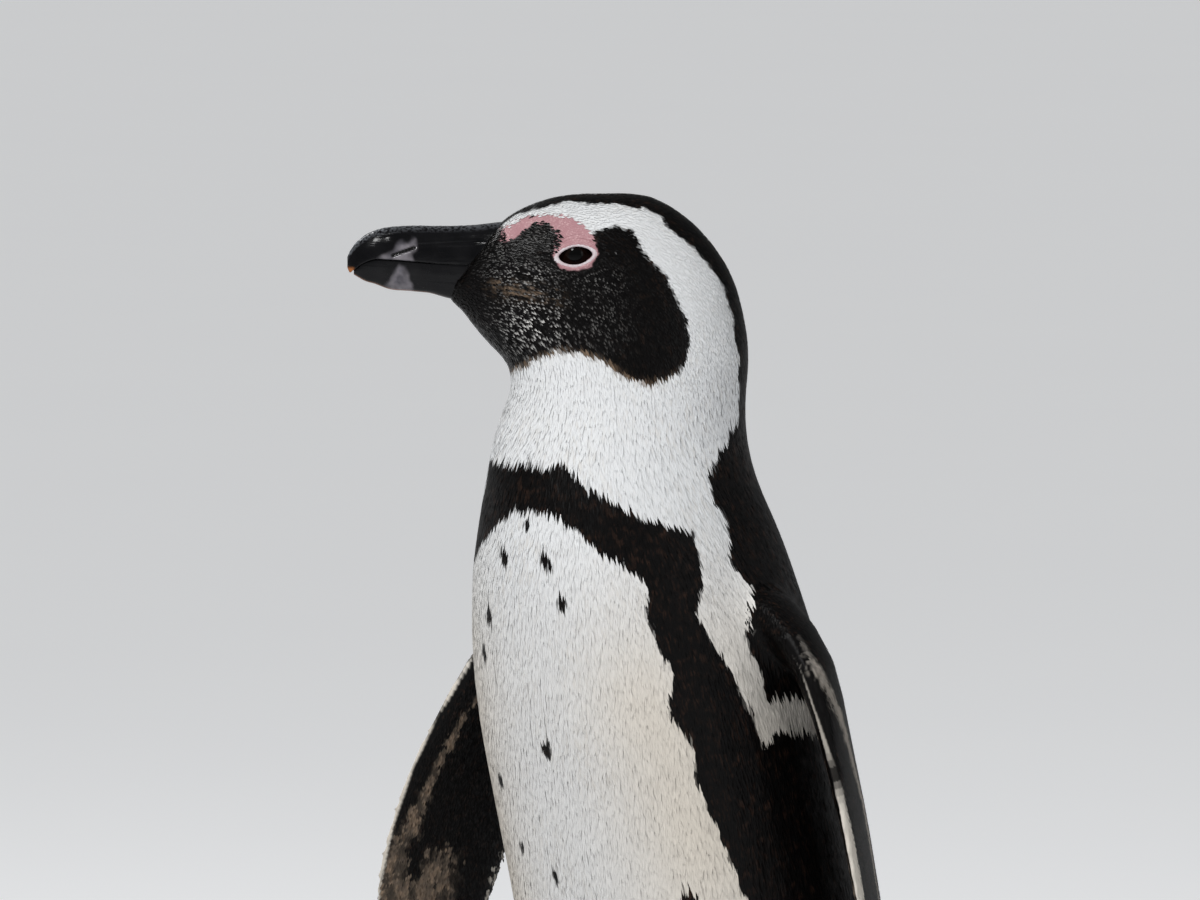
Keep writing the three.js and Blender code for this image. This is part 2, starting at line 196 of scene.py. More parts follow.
BAND_OUTER = [
    (0, 434.5), (43, 436.5), (47, 430), (63.5, 418), (84, 411), (77, 399), (66, 380), (73, 361),
    (77, 340), (79, 329), (90, 332), (100, 331), (110, 326), (114, 306), (114, 262), (112, 150),
    (106, 60), (106, 0),
]
BAND_INNER = [
    (0, 417.5), (23, 419), (34, 413.5), (51, 394), (48, 379), (53, 360), (49.5, 342), (54.5, 330),
    (54.5, 310), (60, 291), (64, 262), (67, 200), (67, 140), (64, 95), (64, 60), (66, 0),
]
BACK_EDGE = [
    (260, 500), (168, 500), (163, 466), (154, 452), (134, 443), (113, 433), (104, 421), (101, 409),
    (91, 397), (94, 384), (83, 371), (86, 346), (97, 346), (108, 341), (117, 330), (121, 306),
    (121.5, 262), (123, 150), (125, 60), (128, 0), (260, 0),
]
TWIST = [(0, 0), (380, 2), (400, 6), (416, 16), (440, 14), (470, 0)]  # height and degrees
# The spots of the breast: angle, height and radius.
SPOTS = [
    (12, 413, 1.5), (-6, 400.5, 1.7), (16, 399.5, 2), (18, 385, 2), (-19, 376, 1.8), (-25, 362.5, 1.8),
    (3, 326, 2), (-29, 310, 1.8), (-23, 285, 1.8), (-6, 274.5, 2), (45, 266.5, 3.4), (14, 236, 1.8),
    (-18, 221, 1.9), (33, 205, 1.6), (-36, 182, 1.7),
]
MM_PER_DEGREE = 1.17  # round the body


def segment_gap(x, y, start, end):
    """How far points lie from the straight stretch between two ends."""
    dx, dy = end[0] - start[0], end[1] - start[1]
    t = np.clip(((x - start[0]) * dx + (y - start[1]) * dy) / (dx * dx + dy * dy), 0, 1)
    return np.hypot(start[0] + t * dx - x, start[1] + t * dy - y)


def outline_distance(x, y, outline):
    """How far inside an outline each point lies, negative outside."""
    x, y = x[:, None], y[:, None]
    start = np.array(outline, float).T
    end = np.roll(start, -1, axis=1)
    gap = segment_gap(x, y, start, end).min(1)
    dx, dy = end - start
    crosses = (start[1] > y) != (end[1] > y)
    side = dx * (y - start[1]) / np.where(dy == 0, 1, dy) + start[0]
    inside = (crosses & (x < side)).sum(1) % 2 == 1
    return np.where(inside, gap, -gap)


def twist_at(height):
    """Degrees by which the middle of the breast lies left of the way the neck is turned."""
    return read_off(height, TWIST)


def on_body(outline):
    """An outline given on the left side, as places across the body from its middle."""
    return [((angle - twist_at(height)) * MM_PER_DEGREE, height) for angle, height in outline]


def body_black(points):
    """How deep inside the black each point of the head, neck or trunk lies, in mm."""
    ahead, _, height = head_mm(points)
    crown = outline_distance(ahead, height, CROWN_EDGE)
    mask = outline_distance(ahead, height, MASK)
    head = np.maximum(crown, mask)
    angle, _ = girth_terms(points)
    side = np.abs((angle - twist_at(height) + 180) % 360 - 180) * MM_PER_DEGREE
    back = outline_distance(side, height, on_body(BACK_EDGE))
    outer = outline_distance(side, height, on_body(BAND_OUTER) + [(-60, 0), (-60, 434.5)])
    inner = outline_distance(side, height, on_body(BAND_INNER) + [(-60, 0), (-60, 417.5)])
    band = np.minimum(outer, -inner)
    body = np.maximum(back, band)
    for spot_angle, spot_height, size in SPOTS:
        gap = np.hypot((angle - spot_angle) * MM_PER_DEGREE, (height - spot_height) * 0.7)
        body = np.maximum(body, size * 1.2 - gap)
    return np.where(height > 468, head, np.where(height > 462, np.maximum(head, body), body))


def pink_depth(points):
    """How deep inside the bare patch each point of the face lies, in mm."""
    ahead, left, height = head_mm(points)
    return np.where(np.abs(left) > 5, outline_distance(ahead, height, PINK), -9.0)


# Meshes in and out of numpy


def node_mesh(name):
    """Corners and triangles of a CAD node, with doubled corners merged."""
    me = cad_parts[name].data
    bm = bmesh.new()
    bm.from_mesh(me)
    bmesh.ops.remove_doubles(bm, verts=bm.verts, dist=1e-6)
    bmesh.ops.triangulate(bm, faces=bm.faces)
    bm.verts.ensure_lookup_table()
    corners = np.array([v.co for v in bm.verts])
    faces = np.array([[v.index for v in f.verts] for f in bm.faces])
    bm.free()
    return corners, faces


def add_object(name, data):
    """Puts a mesh, lamp or camera into the scene."""
    ob = bpy.data.objects.new(name, data)
    bpy.context.scene.collection.objects.link(ob)
    return ob


def new_object(name, corners, faces, smooth=True):
    """A mesh object from its corners and faces of any number of sides."""
    me = bpy.data.meshes.new(name)
    me.from_pydata(corners.tolist(), [], [list(map(int, f)) for f in faces])
    me.update()
    if smooth:
        me.shade_smooth()
    return add_object(name, me)


def read(items, key, width, kind=np.float32):
    """One property of a mesh's items, with a row for each item."""
    values = np.zeros(len(items) * width, kind)
    items.foreach_get(key, values)
    return values.reshape(-1, width)


def corners_of(ob):
    """The places of a mesh object's corners."""
    return read(ob.data.vertices, "co", 3).astype(float)


def normals_of(ob):
    return read(ob.data.vertex_normals, "vector", 3).astype(float)


def edges_of(ob):
    return read(ob.data.edges, "vertices", 2, np.int32)


def set_corners(ob, corners):
    ob.data.vertices.foreach_set("co", corners.astype(np.float32).ravel())
    ob.data.update()


def add_colour(me, name, *channels):
    """A colour for each corner of a mesh, from four channels, each one number or one per corner."""
    values = np.stack(np.broadcast_arrays(*channels, np.zeros(len(me.vertices)))[:4], 1)
    layer = me.attributes.new(name, "FLOAT_COLOR", "POINT")
    layer.data.foreach_set("color", np.ascontiguousarray(values, np.float32).ravel())


def add_places(me, places):
    """The map OFBake, from one place for each corner of the mesh."""
    loops = read(me.loops, "vertex_index", 1, np.int32).ravel()
    uv = me.uv_layers.new(name="OFBake")
    uv.data.foreach_set("uv", places[loops].astype(np.float32).ravel())


def tube_faces(rows, ring):
    """Four-sided faces between rows of corners, each row a closed ring."""
    k = np.arange((rows - 1) * ring)
    following = k - k % ring + (k + 1) % ring
    return np.stack([k, following, following + ring, k + ring], 1)


def fix_normals(ob):
    """Turns all faces outwards."""
    bm = bmesh.new()
    bm.from_mesh(ob.data)
    bmesh.ops.recalc_face_normals(bm, faces=bm.faces)
    bm.to_mesh(ob.data)
    bm.free()


def smoothed(ob, corners, weight, rounds, pull=0.6, push=-0.62):
    """Evens out places or values on a mesh, each by its own weight. With a push, nothing shrinks."""
    edges = edges_of(ob)
    count = np.bincount(edges.ravel(), minlength=len(corners)).astype(float)[:, None]
    for _ in range(rounds):
        for step in (pull, push):
            total = np.zeros_like(corners)
            for axis in range(corners.shape[1]):
                total[:, axis] = np.bincount(
                    edges[:, 0], corners[edges[:, 1], axis], len(corners)
                ) + np.bincount(edges[:, 1], corners[edges[:, 0], axis], len(corners))
            corners = corners + step * weight[:, None] * (total / np.maximum(count, 1) - corners)
    return corners


def spread(ob, values, rounds, pull):
    """Evens out one value for each corner of a mesh."""
    return smoothed(ob, values[:, None], np.ones(len(values)), rounds, pull, 0)[:, 0]


# Flippers. Each has an axis, and a blade whose leading edge points out from straight ahead.

FLIPPERS = {
    "left": {
        "axis": [
            (36, -31, 385), (59.5, -28, 382), (78.5, -21.5, 363), (88, -11, 316), (92, -1, 262),
            (97, 9, 203),
        ],
        "turn": 36,
    },
    "right": {
        "axis": [
            (-34, -36, 392), (-49, -34, 384), (-60.5, -33, 361), (-88.5, -32, 312), (-116.5, -32, 262),
            (-142, -30, 210),
        ],
        "turn": 20,
    },
}
BLADE_SHARE = [0, 0.12, 0.25, 0.38, 0.5, 0.63, 0.76, 0.87, 0.94, 1]
BLADE_REACH = [8, 14, 23.5, 28.5, 30.5, 29, 24.5, 16.5, 8, -6]
BLADE_BEHIND = [12, 18, 21.5, 23, 25.5, 29.5, 31, 28, 23, 10.5]


def flipper_terms(points, side):
    """Share along a flipper, place across it from -1 behind to 1 ahead, height off it on its inner
    side in mm, and the ways along and across it.
    """
    sign = SIDES[side]
    axis = np.array(FLIPPERS[side]["axis"], float)
    steps = np.linalg.norm(np.diff(axis, axis=0), axis=1)
    reached = np.concatenate([[0], np.cumsum(steps)]) / steps.sum()
    share = np.linspace(0, 1, 80)
    line = np.stack([np.interp(share, reached, axis[:, k]) for k in range(3)], 1)
    padded = np.pad(line, ((4, 4), (0, 0)), "reflect", reflect_type="odd")
    line = np.stack([np.convolve(column, np.ones(9) / 9, "valid") for column in padded.T], 1)
    along = unit(np.gradient(line, axis=0))
    turn = math.radians(FLIPPERS[side]["turn"])
    ahead = np.array([sign * math.sin(turn), -math.cos(turn), 0])
    chord = unit(ahead - along * (along @ ahead)[:, None])
    inner = sign * np.cross(along, chord)
    p = in_mm(points)
    near = np.argmin(((p[:, None, :] - line[None]) ** 2).sum(2), axis=1)
    offset = p - line[near]
    reach = np.interp(share[near], BLADE_SHARE, BLADE_REACH)
    behind = np.interp(share[near], BLADE_SHARE, BLADE_BEHIND)
    across = ((offset * chord[near]).sum(1) - (reach - behind) / 2) / ((reach + behind) / 2)
    return share[near], across, (offset * inner[near]).sum(1), along[near], chord[near]


# The dull pale line on the outside of a flipper: share along it, and place across it.
PALE_LINE = [
    (0.2, 0.82), (0.26, 0.82), (0.3, 0.66), (0.34, 0.47), (0.38, 0.2), (0.42, 0.05), (0.46, -0.1),
    (0.52, -0.33), (0.6, -0.37), (1, -0.4),
]
# The pale line along each leading edge: share, and height off the middle where it starts, in mm.
LEADING_LINE = {
    "left": [(0.22, 0.8), (0.29, 0.2), (0.34, -0.6), (0.42, -1.8), (0.5, -2.7), (0.6, -3.2), (1, -3.2)],
    "right": [(0.2, -1.5), (1, -2)],
}


def flipper_colours(points, side):
    """How black and how brown each point of a flipper is, from 0 to 1."""
    share, across, inner, _, _ = flipper_terms(points, side)
    a = across + 0.05 * noise(points, 3.5 * MM, 5) + 0.045 * noise(points, 1.5 * MM, 6)
    comb = noise(points * [1, 1, 0.5], 1.3 * MM, 8)
    # Streaks that lie with the feathers.
    slant = np.stack([27 * across + 60 * share, 30 * share, 0 * share], 1)
    streak = ramp(noise(slant, 1.15, 15) + 0.35 * comb, -0.4, 0.2)
    # Outside: black, with a dull pale line from the shoulder and a white trailing edge.
    middle = read_off(share, PALE_LINE)
    width = np.interp(share, [0.2, 0.27, 0.36, 0.45, 0.6, 1], [0.05, 0.16, 0.26, 0.22, 0.12, 0.06])
    line = ramp(1 - np.abs(across - middle) / width + 0.5 * comb, 0, 0.9) * ramp(share, 0.2, 0.28)
    line = line * (1 - ramp(share, 0.6, 0.95))
    trailing = ramp(-across, 0.945, 0.975) * ramp(share, 0.3, 0.45)
    outside = [1 - 0.6 * line - 0.9 * trailing, 0.24 * line]
    # Inside: a white leading edge, a black band, a dull stripe that opens into a brown patch.
    middle = np.interp(share, [0.3, 0.48, 0.57, 0.7, 1], [0.53, 0.62, 0.63, 0.72, 0.72])
    width = np.interp(share, [0.3, 0.48, 0.57, 0.66, 0.8, 1], [0.03, 0.07, 0.13, 0.27, 0.36, 0.5])
    stripe = ramp(1 - np.abs(a - middle) / width + 0.35 * comb, 0.1, 0.7) * ramp(share, 0.25, 0.35)
    patch = ramp(share - 0.64 - 0.12 * np.abs(a - 0.1) + 0.03 * comb, 0, 0.05)
    patch = patch * ramp(a, -0.4, -0.2) * (a < 0.75)
    blotch = 1 - np.hypot((share - 0.695) / 0.05, (a - 0.49 + 1.2 * (share - 0.69)) / 0.13)
    dull = np.clip(np.maximum(stripe, patch * (0.75 + 0.5 * comb)), 0, 1)
    dull = dull * (1 - ramp(blotch + 0.2 * comb, -0.1, 0.15))
    dull = dull * (0.22 + 0.78 * streak)
    teeth = (a < -0.86) * (comb > -0.02) * ramp(share, 0.5, 0.6)
    teeth = np.maximum(ramp(-across, 0.93, 0.96), teeth) * ramp(share, 0.4, 0.55)
    inside = [(1 - 0.25 * dull) * (1 - 0.9 * teeth), 0.9 * dull * (1 - 0.9 * teeth)]
    black, brown = (np.where(inner > 0, one, other) for one, other in zip(inside, outside))
    # The pale line round the leading edge, lower under the left flipper, and broken once.
    start = read_off(share, LEADING_LINE[side])
    strip = np.interp(share, [0.3, 0.5, 0.7, 1], [0.93, 0.918, 0.888, 0.868])
    if side == "left":
        lower = np.interp(share, [0.3, 0.42, 0.52, 0.62, 1], [0.03, 0.05, 0.08, 0.13, 0.13])
        strip = strip - lower * (inner < 0.5)
    border = ramp(inner, start - 0.4, start + 0.4) * ramp(across, strip - 0.02, strip + 0.02)
    if side == "left":
        gap = bell(share - 0.437, 0.03)
        border = border * (1 - gap) * np.interp(share, [0.2, 0.24, 0.44, 0.5], [0, 0.55, 0.55, 1])
    else:
        border = border * ramp(share, 0.12, 0.2)
    return black * (1 - 0.93 * border), brown * (1 - border)


def region_is(region, *parts):
    """Which corners belong to some parts, whatever their side."""
    wanted = [k for k, name in enumerate(FLESH) if name.split("_")[0] in parts]
    return np.isin(region, wanted)


def flippers(region):
    """Each flipper's side and its own corners, where there are any."""
    for side in SIDES:
        mine = region == FLESH.index(f"flipper_{side}")
        if mine.any():
            yield side, mine


def on_leading_edge(points, from_across):
    """Whether each point lies on a flipper's smooth leading edge."""
    found = np.zeros(len(points), bool)
    for side in SIDES:
        low, high = (np.array(corner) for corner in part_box(f"flipper_{side}"))
        near = np.nonzero(np.all((points > low - MM) & (points < high + MM), axis=1))[0]
        share, across, inner, _, _ = flipper_terms(points[near], side)
        found[near] = (across > from_across) & (np.abs(inner) < 8) & (share > 0.2)
    return found


# Skin

SKIN_VOXEL = 2.35 * MM
CLOSES_GAPS = 0.35 * MM  # how far the solids are grown, so that they meet
FILL_SINKS = 0.25 * MM  # how far the filling of creases may lower the rest
SMOOTHING = {"head": 1, "neck": 1, "trunk": 1, "tail": 0.5, "leg": 0.8, "foot": 0.35, "flipper": 0.25}


def nearest_node(points):
    """For each point, the index in FLESH of the solid that it lies nearest."""
    gaps = []
    for name in FLESH:
        corners, faces = node_mesh(name)
        tree = BVHTree.FromPolygons(corners.tolist(), faces.tolist())
        reach = 0.02
        low, high = corners.min(0) - reach, corners.max(0) + reach
        near = np.all((points > low) & (points < high), axis=1)
        gap = np.full(len(points), 1.0)
        gap[near] = [tree.find_nearest(point)[3] for point in points[near]]
        gaps.append(gap)
    return np.argmin(gaps, axis=0)


def make_skin():
    """One closed skin over all the flesh, with the eyes filled in."""
    corners, faces, start = [], [], 0
    for name in FLESH + ["eye_left", "eye_right"]:
        places, triangles = node_mesh(name)
        ob = new_object("scratch", places, triangles)
        corners.append(corners_of(ob) + normals_of(ob) * CLOSES_GAPS)
        faces.append(triangles + start)
        start += len(places)
        bpy.data.objects.remove(ob)
    ob = new_object("skin", np.vstack(corners), np.vstack(faces))
    remesh = ob.modifiers.new("remesh", "REMESH")
    remesh.mode = "VOXEL"
    remesh.voxel_size = SKIN_VOXEL
    graph = bpy.context.evaluated_depsgraph_get()
    me = bpy.data.meshes.new_from_object(ob.evaluated_get(graph))
    ob.modifiers.clear()
    ob.data = me
    return ob


def refine(ob, wanted):
    """Halves the edges that run between two wanted corners."""
    bm = bmesh.new()
    bm.from_mesh(ob.data)
    bm.verts.ensure_lookup_table()
    chosen = [e for e in bm.edges if wanted[e.verts[0].index] and wanted[e.verts[1].index]]
    bmesh.ops.subdivide_edges(bm, edges=chosen, cuts=1, use_grid_fill=True)
    bm.to_mesh(ob.data)
    bm.free()
    ob.data.update()


def body_size(points, small, large):
    """A measure of the body's feathers, which grow from the face down to the breast."""
    height = in_mm(points)[:, 2]
    return small + (large - small) * (1 - ramp(height, 425, 505))


# Feathers in mm, on the body from the face to the breast: spacing, length, width and depth.
COAT = {
    "body": {"spacing": (0.84, 1.12), "length": (2.4, 8.0), "width": (0.84, 1.3), "depth": (0.42, 0.52)},
    "tail": {"spacing": 1.7, "length": 9, "width": 1.9, "depth": 1.2},
    "flipper": {"spacing": 0.98, "length": 2.5, "width": 0.9, "depth": 0.42},
    "leg": {"spacing": 1.3, "length": 5, "width": 1.2, "depth": 0.8},
}
# How far the skin is drawn in under the coat, in mm; the body has its own rule.
COAT_DEPTH = {part: COAT[part]["depth"] for part in ("tail", "flipper", "leg")} | {"foot": 0.25}


def on_face(points):
    """Whether each point is on the face or gape, where the skin is finest."""
    ahead, _, height = head_terms(points)
    eye = np.hypot(ahead - 24 * MM, height - 516 * MM)
    return (eye < 25 * MM) & (height > 480 * MM)


def almond_of(a, h):
    """1 on the edge of the eye opening, less inside it. It is pointed and rises towards the back."""
    along = np.clip(a / LIDS["long"], -1.6, 1.6)
    return np.hypot(along, (h + 0.1 * a) / (LIDS["high"] * (1.03 - 0.2 * along**2)).clip(1 * MM))


def sink_eyes(points):
    """Levels the eye openings, then raises lids round them and opens a pocket for each ball."""
    ahead, left, height = head_terms(points)
    a, h = ahead - EYE["ahead"], height - EYE["height"]
    out = left.copy()
    fits = {}
    for side in (1, -1):
        mine = (left * side > 0) & (height > 470 * MM)
        radius = np.hypot(a, h * 1.3)
        ring = mine & (radius > 10 * MM) & (radius < 17 * MM)
        terms = np.stack([np.ones(len(a)), a, h, a * a, a * h, h * h], 1)
        fit = np.linalg.lstsq(terms[ring], left[ring] * side, rcond=None)[0]
        level = terms @ fit
        blend = 1 - ramp(radius, 8.5 * MM, 11.5 * MM)
        side_out = np.where(mine, left * side * (1 - blend) + level * blend, left * side)
        fits[side] = fit
        almond = almond_of(a, h)
        rim = bell(almond - 1.3, 0.2)
        folds = bell(almond - 1.72, 0.1) + 0.8 * bell(almond - 2.05, 0.1) * ramp(h, 0, 3 * MM)
        inside = 1 - ramp(almond, 0.9, 1.08)
        near = mine & (radius < 16 * MM)
        raised = side_out + 0.5 * MM * rim - 0.35 * MM * folds - 6.5 * MM * inside
        side_out = np.where(near, raised, side_out)
        out = np.where(mine, side_out * side, out)
    return from_head(ahead, out, height), fits


def face_folds(points, normals):
    """Fine folds from the gape back under the eye, and round the bare patch."""
    ahead, left, height = head_mm(points)
    side = np.clip((np.abs(left) - 4) / 5, 0, 1)
    out = np.zeros(len(points))
    for k, (start, drop) in enumerate([(510.5, 0.1), (507.4, 0.16), (504.2, 0.24)]):
        line = start - drop * (44 - ahead) + 0.8 * np.sin(ahead * 0.35 + k)
        along = ramp(ahead, 16 + 4 * k, 24 + 4 * k) * (1 - ramp(ahead, 44, 52))
        out -= 0.42 * bell(height - line, 0.75) * along
        out += 0.3 * bell(height - line - 1.5, 0.9) * along
    out += 0.1 * noise(points, 1.6 * MM, 3) * np.clip(pink_depth(points), 0, 1)
    return points + normals * (out * side * MM)[:, None]


def foot_scutes(points, normals, region):
    """Cross bands of scutes along the toes."""
    p = in_mm(points)
    foot = region_is(region, "foot")
    side = np.where(p[:, 0] > 0, 1, -1)
    along = np.hypot(p[:, 0] - side * FOOT_ASIDE, p[:, 1] - ANKLE_Y)
    bands = np.abs(np.sin(along * math.pi / 3.1)) ** 0.5 - 0.75
    top = np.clip(normals[:, 2], 0, 1) * ramp(p[:, 2], 3.6, 5.5) * ramp(along, 12, 18)
    return points + normals * (0.28 * MM * bands * top * foot)[:, None]


def build_skin():
    """The skin as it shows, the solid that each corner belongs to, and the shape round each eye."""
    ob = make_skin()
    region = nearest_node(corners_of(ob))
    weight = np.array([SMOOTHING[name.split("_")[0]] for name in FLESH])[region]
    for side, mine in flippers(region):
        share = flipper_terms(corners_of(ob)[mine], side)[0]
        weight[mine] = 1 - 0.75 * ramp(share, 0.15, 0.33)
    weight = spread(ob, weight, 3, 0.5)
    corners = smoothed(ob, corners_of(ob), weight, 20)
    set_corners(ob, corners)
    normals = normals_of(ob)
    filled = smoothed(ob, corners, ramp(weight, 0.5, 1), 34, 0.6, 0)
    sunk = -((filled - corners) * normals).sum(1) - FILL_SINKS
    filled = filled + normals * np.maximum(sunk, 0)[:, None]
    set_corners(ob, smoothed(ob, filled, weight, 8))
    for _ in range(2):
        refine(ob, on_face(corners_of(ob)))
    corners = corners_of(ob)
    set_corners(ob, smoothed(ob, corners, on_leading_edge(corners, 0.6), 12, 0.6, -0.61))
    p = in_mm(corners_of(ob))
    refine(ob, (p[:, 2] < 15) & (p[:, 1] < 16))
    refine(ob, on_leading_edge(corners_of(ob), 0.79))
    refine(ob, on_leading_edge(corners_of(ob), 0.85))
    corners = corners_of(ob)
    region = nearest_node(corners)
    corners = smoothed(ob, corners, on_face(corners) | region_is(region, "foot"), 6)
    corners = smoothed(ob, corners, on_leading_edge(corners, 0.7), 30, 0.6, -0.61)
    set_corners(ob, corners)
    depth = np.array([COAT_DEPTH.get(name.split("_")[0], -1) for name in FLESH], float)[region]
    depth = np.where(depth < 0, body_size(corners, *COAT["body"]["depth"]), depth)
    depth = spread(ob, depth, 14, 0.9)
    bare = ramp(pink_depth(corners), -0.5, 1) * 0.5
    depth = depth * (1 - bare) + CLOSES_GAPS / MM
    outward = unit(smoothed(ob, normals_of(ob), on_leading_edge(corners, 0.6), 5, 0.9, 0))
    corners = corners - outward * (depth * MM)[:, None]
    corners = smoothed(ob, corners, on_leading_edge(corners, 0.84), 26, 0.5, 0)
    corners, balls = sink_eyes(corners)
    set_corners(ob, corners)
    corners = face_folds(corners, normals_of(ob))
    corners = foot_scutes(corners, normals_of(ob), region)
    corners[:, 2] = np.maximum(corners[:, 2], 0)
    set_corners(ob, corners)
    return ob, region, balls


skin, skin_region, eye_fit = build_skin()

# Colour of skin and feathers at any point


def plumage(points, region, soft=0.7):
    """How black and how brown the coat is at each point, from 0 to 1."""
    ragged = 0.6 + 0.4 * (1 - ramp(points[:, 2], 440 * MM, 490 * MM))
    depth = body_black(points) + ragged * (
        1.1 * noise(points, 4 * MM, 1) + 0.9 * noise(points * [1, 1, 0.5], 1.7 * MM, 2)
    )
    black = ramp(depth, -soft, soft)
    brown = np.zeros(len(points))
    for side, mine in flippers(region):
        black[mine], brown[mine] = flipper_colours(points[mine], side)
    head = (points[:, 2] > 462 * MM) & ~region_is(region, "flipper")
    brown[head] = fold_tint(points[head])
    fringe = bell(depth - 0.6, 0.9) * (1 - ramp(points[:, 2], 478 * MM, 486 * MM))
    fringe = fringe * ramp(head_terms(points)[0], -25 * MM, -10 * MM)
    brown[head] = np.maximum(brown[head], 0.55 * fringe[head])
    black[region_is(region, "tail")] = 1
    leg = region_is(region, "leg", "foot")
    p = in_mm(points)
    outward = np.abs(p[leg, 0]) + 0.6 * p[leg, 1] + 0.8 * noise(points[leg], 3 * MM, 3)
    black[leg] = ramp(outward - np.interp(p[leg, 2], [30, 60, 100], [44, 48, 56]), -1, 1)
    return black, brown


# Patches of the face where the tips of the small feathers are painted pale as painted
# highlights: place ahead and height, half width and half height in mm, and strength.
GLINTS = [
    (34, 490, 12, 11, 1.0), (37, 509, 11, 5, 0.6), (32, 524, 8, 3.5, 0.15), (11, 492, 12, 12, 0.16),
    (9, 507, 10, 5, 0.2), (47, 518, 6, 5, 0.2),
]


def face_glint(points):
    """How strongly the tips of the small feathers are painted pale as highlights, most on the cheek and
    lores.
    """
    ahead, _, height = head_mm(points)
    glint = np.zeros(len(points))
    for a, h, wide, high, strength in GLINTS:
        fade = np.exp(-(((ahead - a) / wide) ** 2) - ((height - h) / high) ** 2)
        glint = np.maximum(glint, strength * fade)
    return glint * ramp(height, 462, 472)


def fold_tint(points):
    """How brown the folds behind the gape are."""
    ahead, _, height = head_mm(points)
    line = 503.5 - 0.12 * (44 - ahead)
    phase = (height - line) * 3.2 + 1.1 * np.sin(ahead * 0.42) + noise(points, 3 * MM, 17)
    wave = 0.5 + 0.5 * np.sin(phase)
    reach = ramp(ahead, 18, 30) * (1 - ramp(ahead, 46, 54))
    broken = ramp(noise(points * [1, 1, 2], 2.4 * MM, 16), -0.4, 0.3)
    return 0.75 * bell(height - line, 3) * reach * wave * broken


def painted_bounce_warmth(points):
    """How far the white is turned creamy by painted warm bounce light, low down and most on the sides of
    the breast and belly.
    """
    angle, _ = girth_terms(points)
    height = in_mm(points)[:, 2]
    side = 0.25 + 0.75 * ramp(np.abs(angle - twist_at(height)), 5, 48)
    return (1 - ramp(height, 330, 425)) * side * (0.85 + 0.15 * noise(points, 30 * MM, 41))


def lie_of_feathers(points, normals, region):
    """The direction that a feather at each point lies in, along the skin."""
    ahead, _, height = head_terms(points)
    over = np.stack([-(height - 452 * MM), ahead - 62 * MM], 1)
    over = over / np.maximum(np.linalg.norm(over, axis=1, keepdims=True), 1e-9)
    head = over[:, :1] * HEAD_AHEAD + over[:, 1:] * UP
    down = np.array([0.0, SPINE_SLOPE, -1.0])
    share = ramp(height, 425 * MM, 490 * MM)[:, None]
    way = head * share + unit(down) * (1 - share)
    p = in_mm(points)
    way = way + 0.5 * (1 - ramp(p[:, 2], 60, 130))[:, None] * np.array([0, 1, 0])
    for side, mine in flippers(region):
        share, across, _, along, chord = flipper_terms(points[mine], side)
        sweep = 0.15 + 0.3 * np.clip(-across, 0, 1)
        out = ramp(share, 0.1, 0.35)[:, None]
        way[mine] = (along - chord * sweep[:, None]) * out + way[mine] * (1 - out)
    tail = region_is(region, "tail")
    way[tail] = unit(TAIL_TIP - TAIL_ROOT)
    way[region_is(region, "leg", "foot")] = (0, 0.05, -1)
    way = way - normals * (way * normals).sum(1)[:, None]
    return unit(way)


# Feathers. Each is one closed vane with a raised midrib, pointed at its root and its end.


def scatter(ob, chosen, spacing):
    """Seeded points over the chosen triangles, none nearer to another than about the spacing there."""
    me = ob.data
    me.calc_loop_triangles()
    tris = read(me.loop_triangles, "vertices", 3, np.int32)
    tris = tris[chosen[tris].any(1)]
    co, no = corners_of(ob), normals_of(ob)
    a, b, c = (co[tris[:, k]] for k in range(3))
    area = np.linalg.norm(np.cross(b - a, c - a), axis=1) / 2 / spacing(co[tris[:, 0]]) ** 2
    count = int(area.sum() * 3)
    pick = RNG.choice(len(tris), count, p=area / area.sum())
    one, two = RNG.random((2, count))
    flip = one + two > 1
    one[flip], two[flip] = 1 - one[flip], 1 - two[flip]
    share = np.stack([1 - one - two, one, two], 1)
    corner = tris[pick, np.argmax(share, axis=1)]
    points = (co[tris[pick]] * share[:, :, None]).sum(1)
    normals = unit((no[tris[pick]] * share[:, :, None]).sum(1))
    size = np.round(spacing(points) * 0.82 / MM, 1) * MM
    keys = np.floor(points / size[:, None]).astype(int).tolist()
    places, sizes = points.tolist(), size.tolist()
    inside = chosen[corner].tolist()
    around = [(i, j, k) for i in (-1, 0, 1) for j in (-1, 0, 1) for k in (-1, 0, 1)]
    cells, kept = {}, []
    for index, (x, y, z) in enumerate(keys):
        if not inside[index]:
            continue
        px, py, pz = places[index]
        gap = sizes[index]
        near = (q for i, j, k in around for q in cells.get((gap, x + i, y + j, z + k), ()))
        if all((px - qx) ** 2 + (py - qy) ** 2 + (pz - qz) ** 2 >= gap * gap for qx, qy, qz in near):
            cells.setdefault((gap, x, y, z), []).append((px, py, pz))
            kept.append(index)
    return points[kept], normals[kept], corner[kept]


def rise(u):
    """How far out of the coat a feather has come at a share of its length."""
    return -0.2 + 1.15 * (0.45 * u + 0.55 * (1 - (1 - u) ** 2))


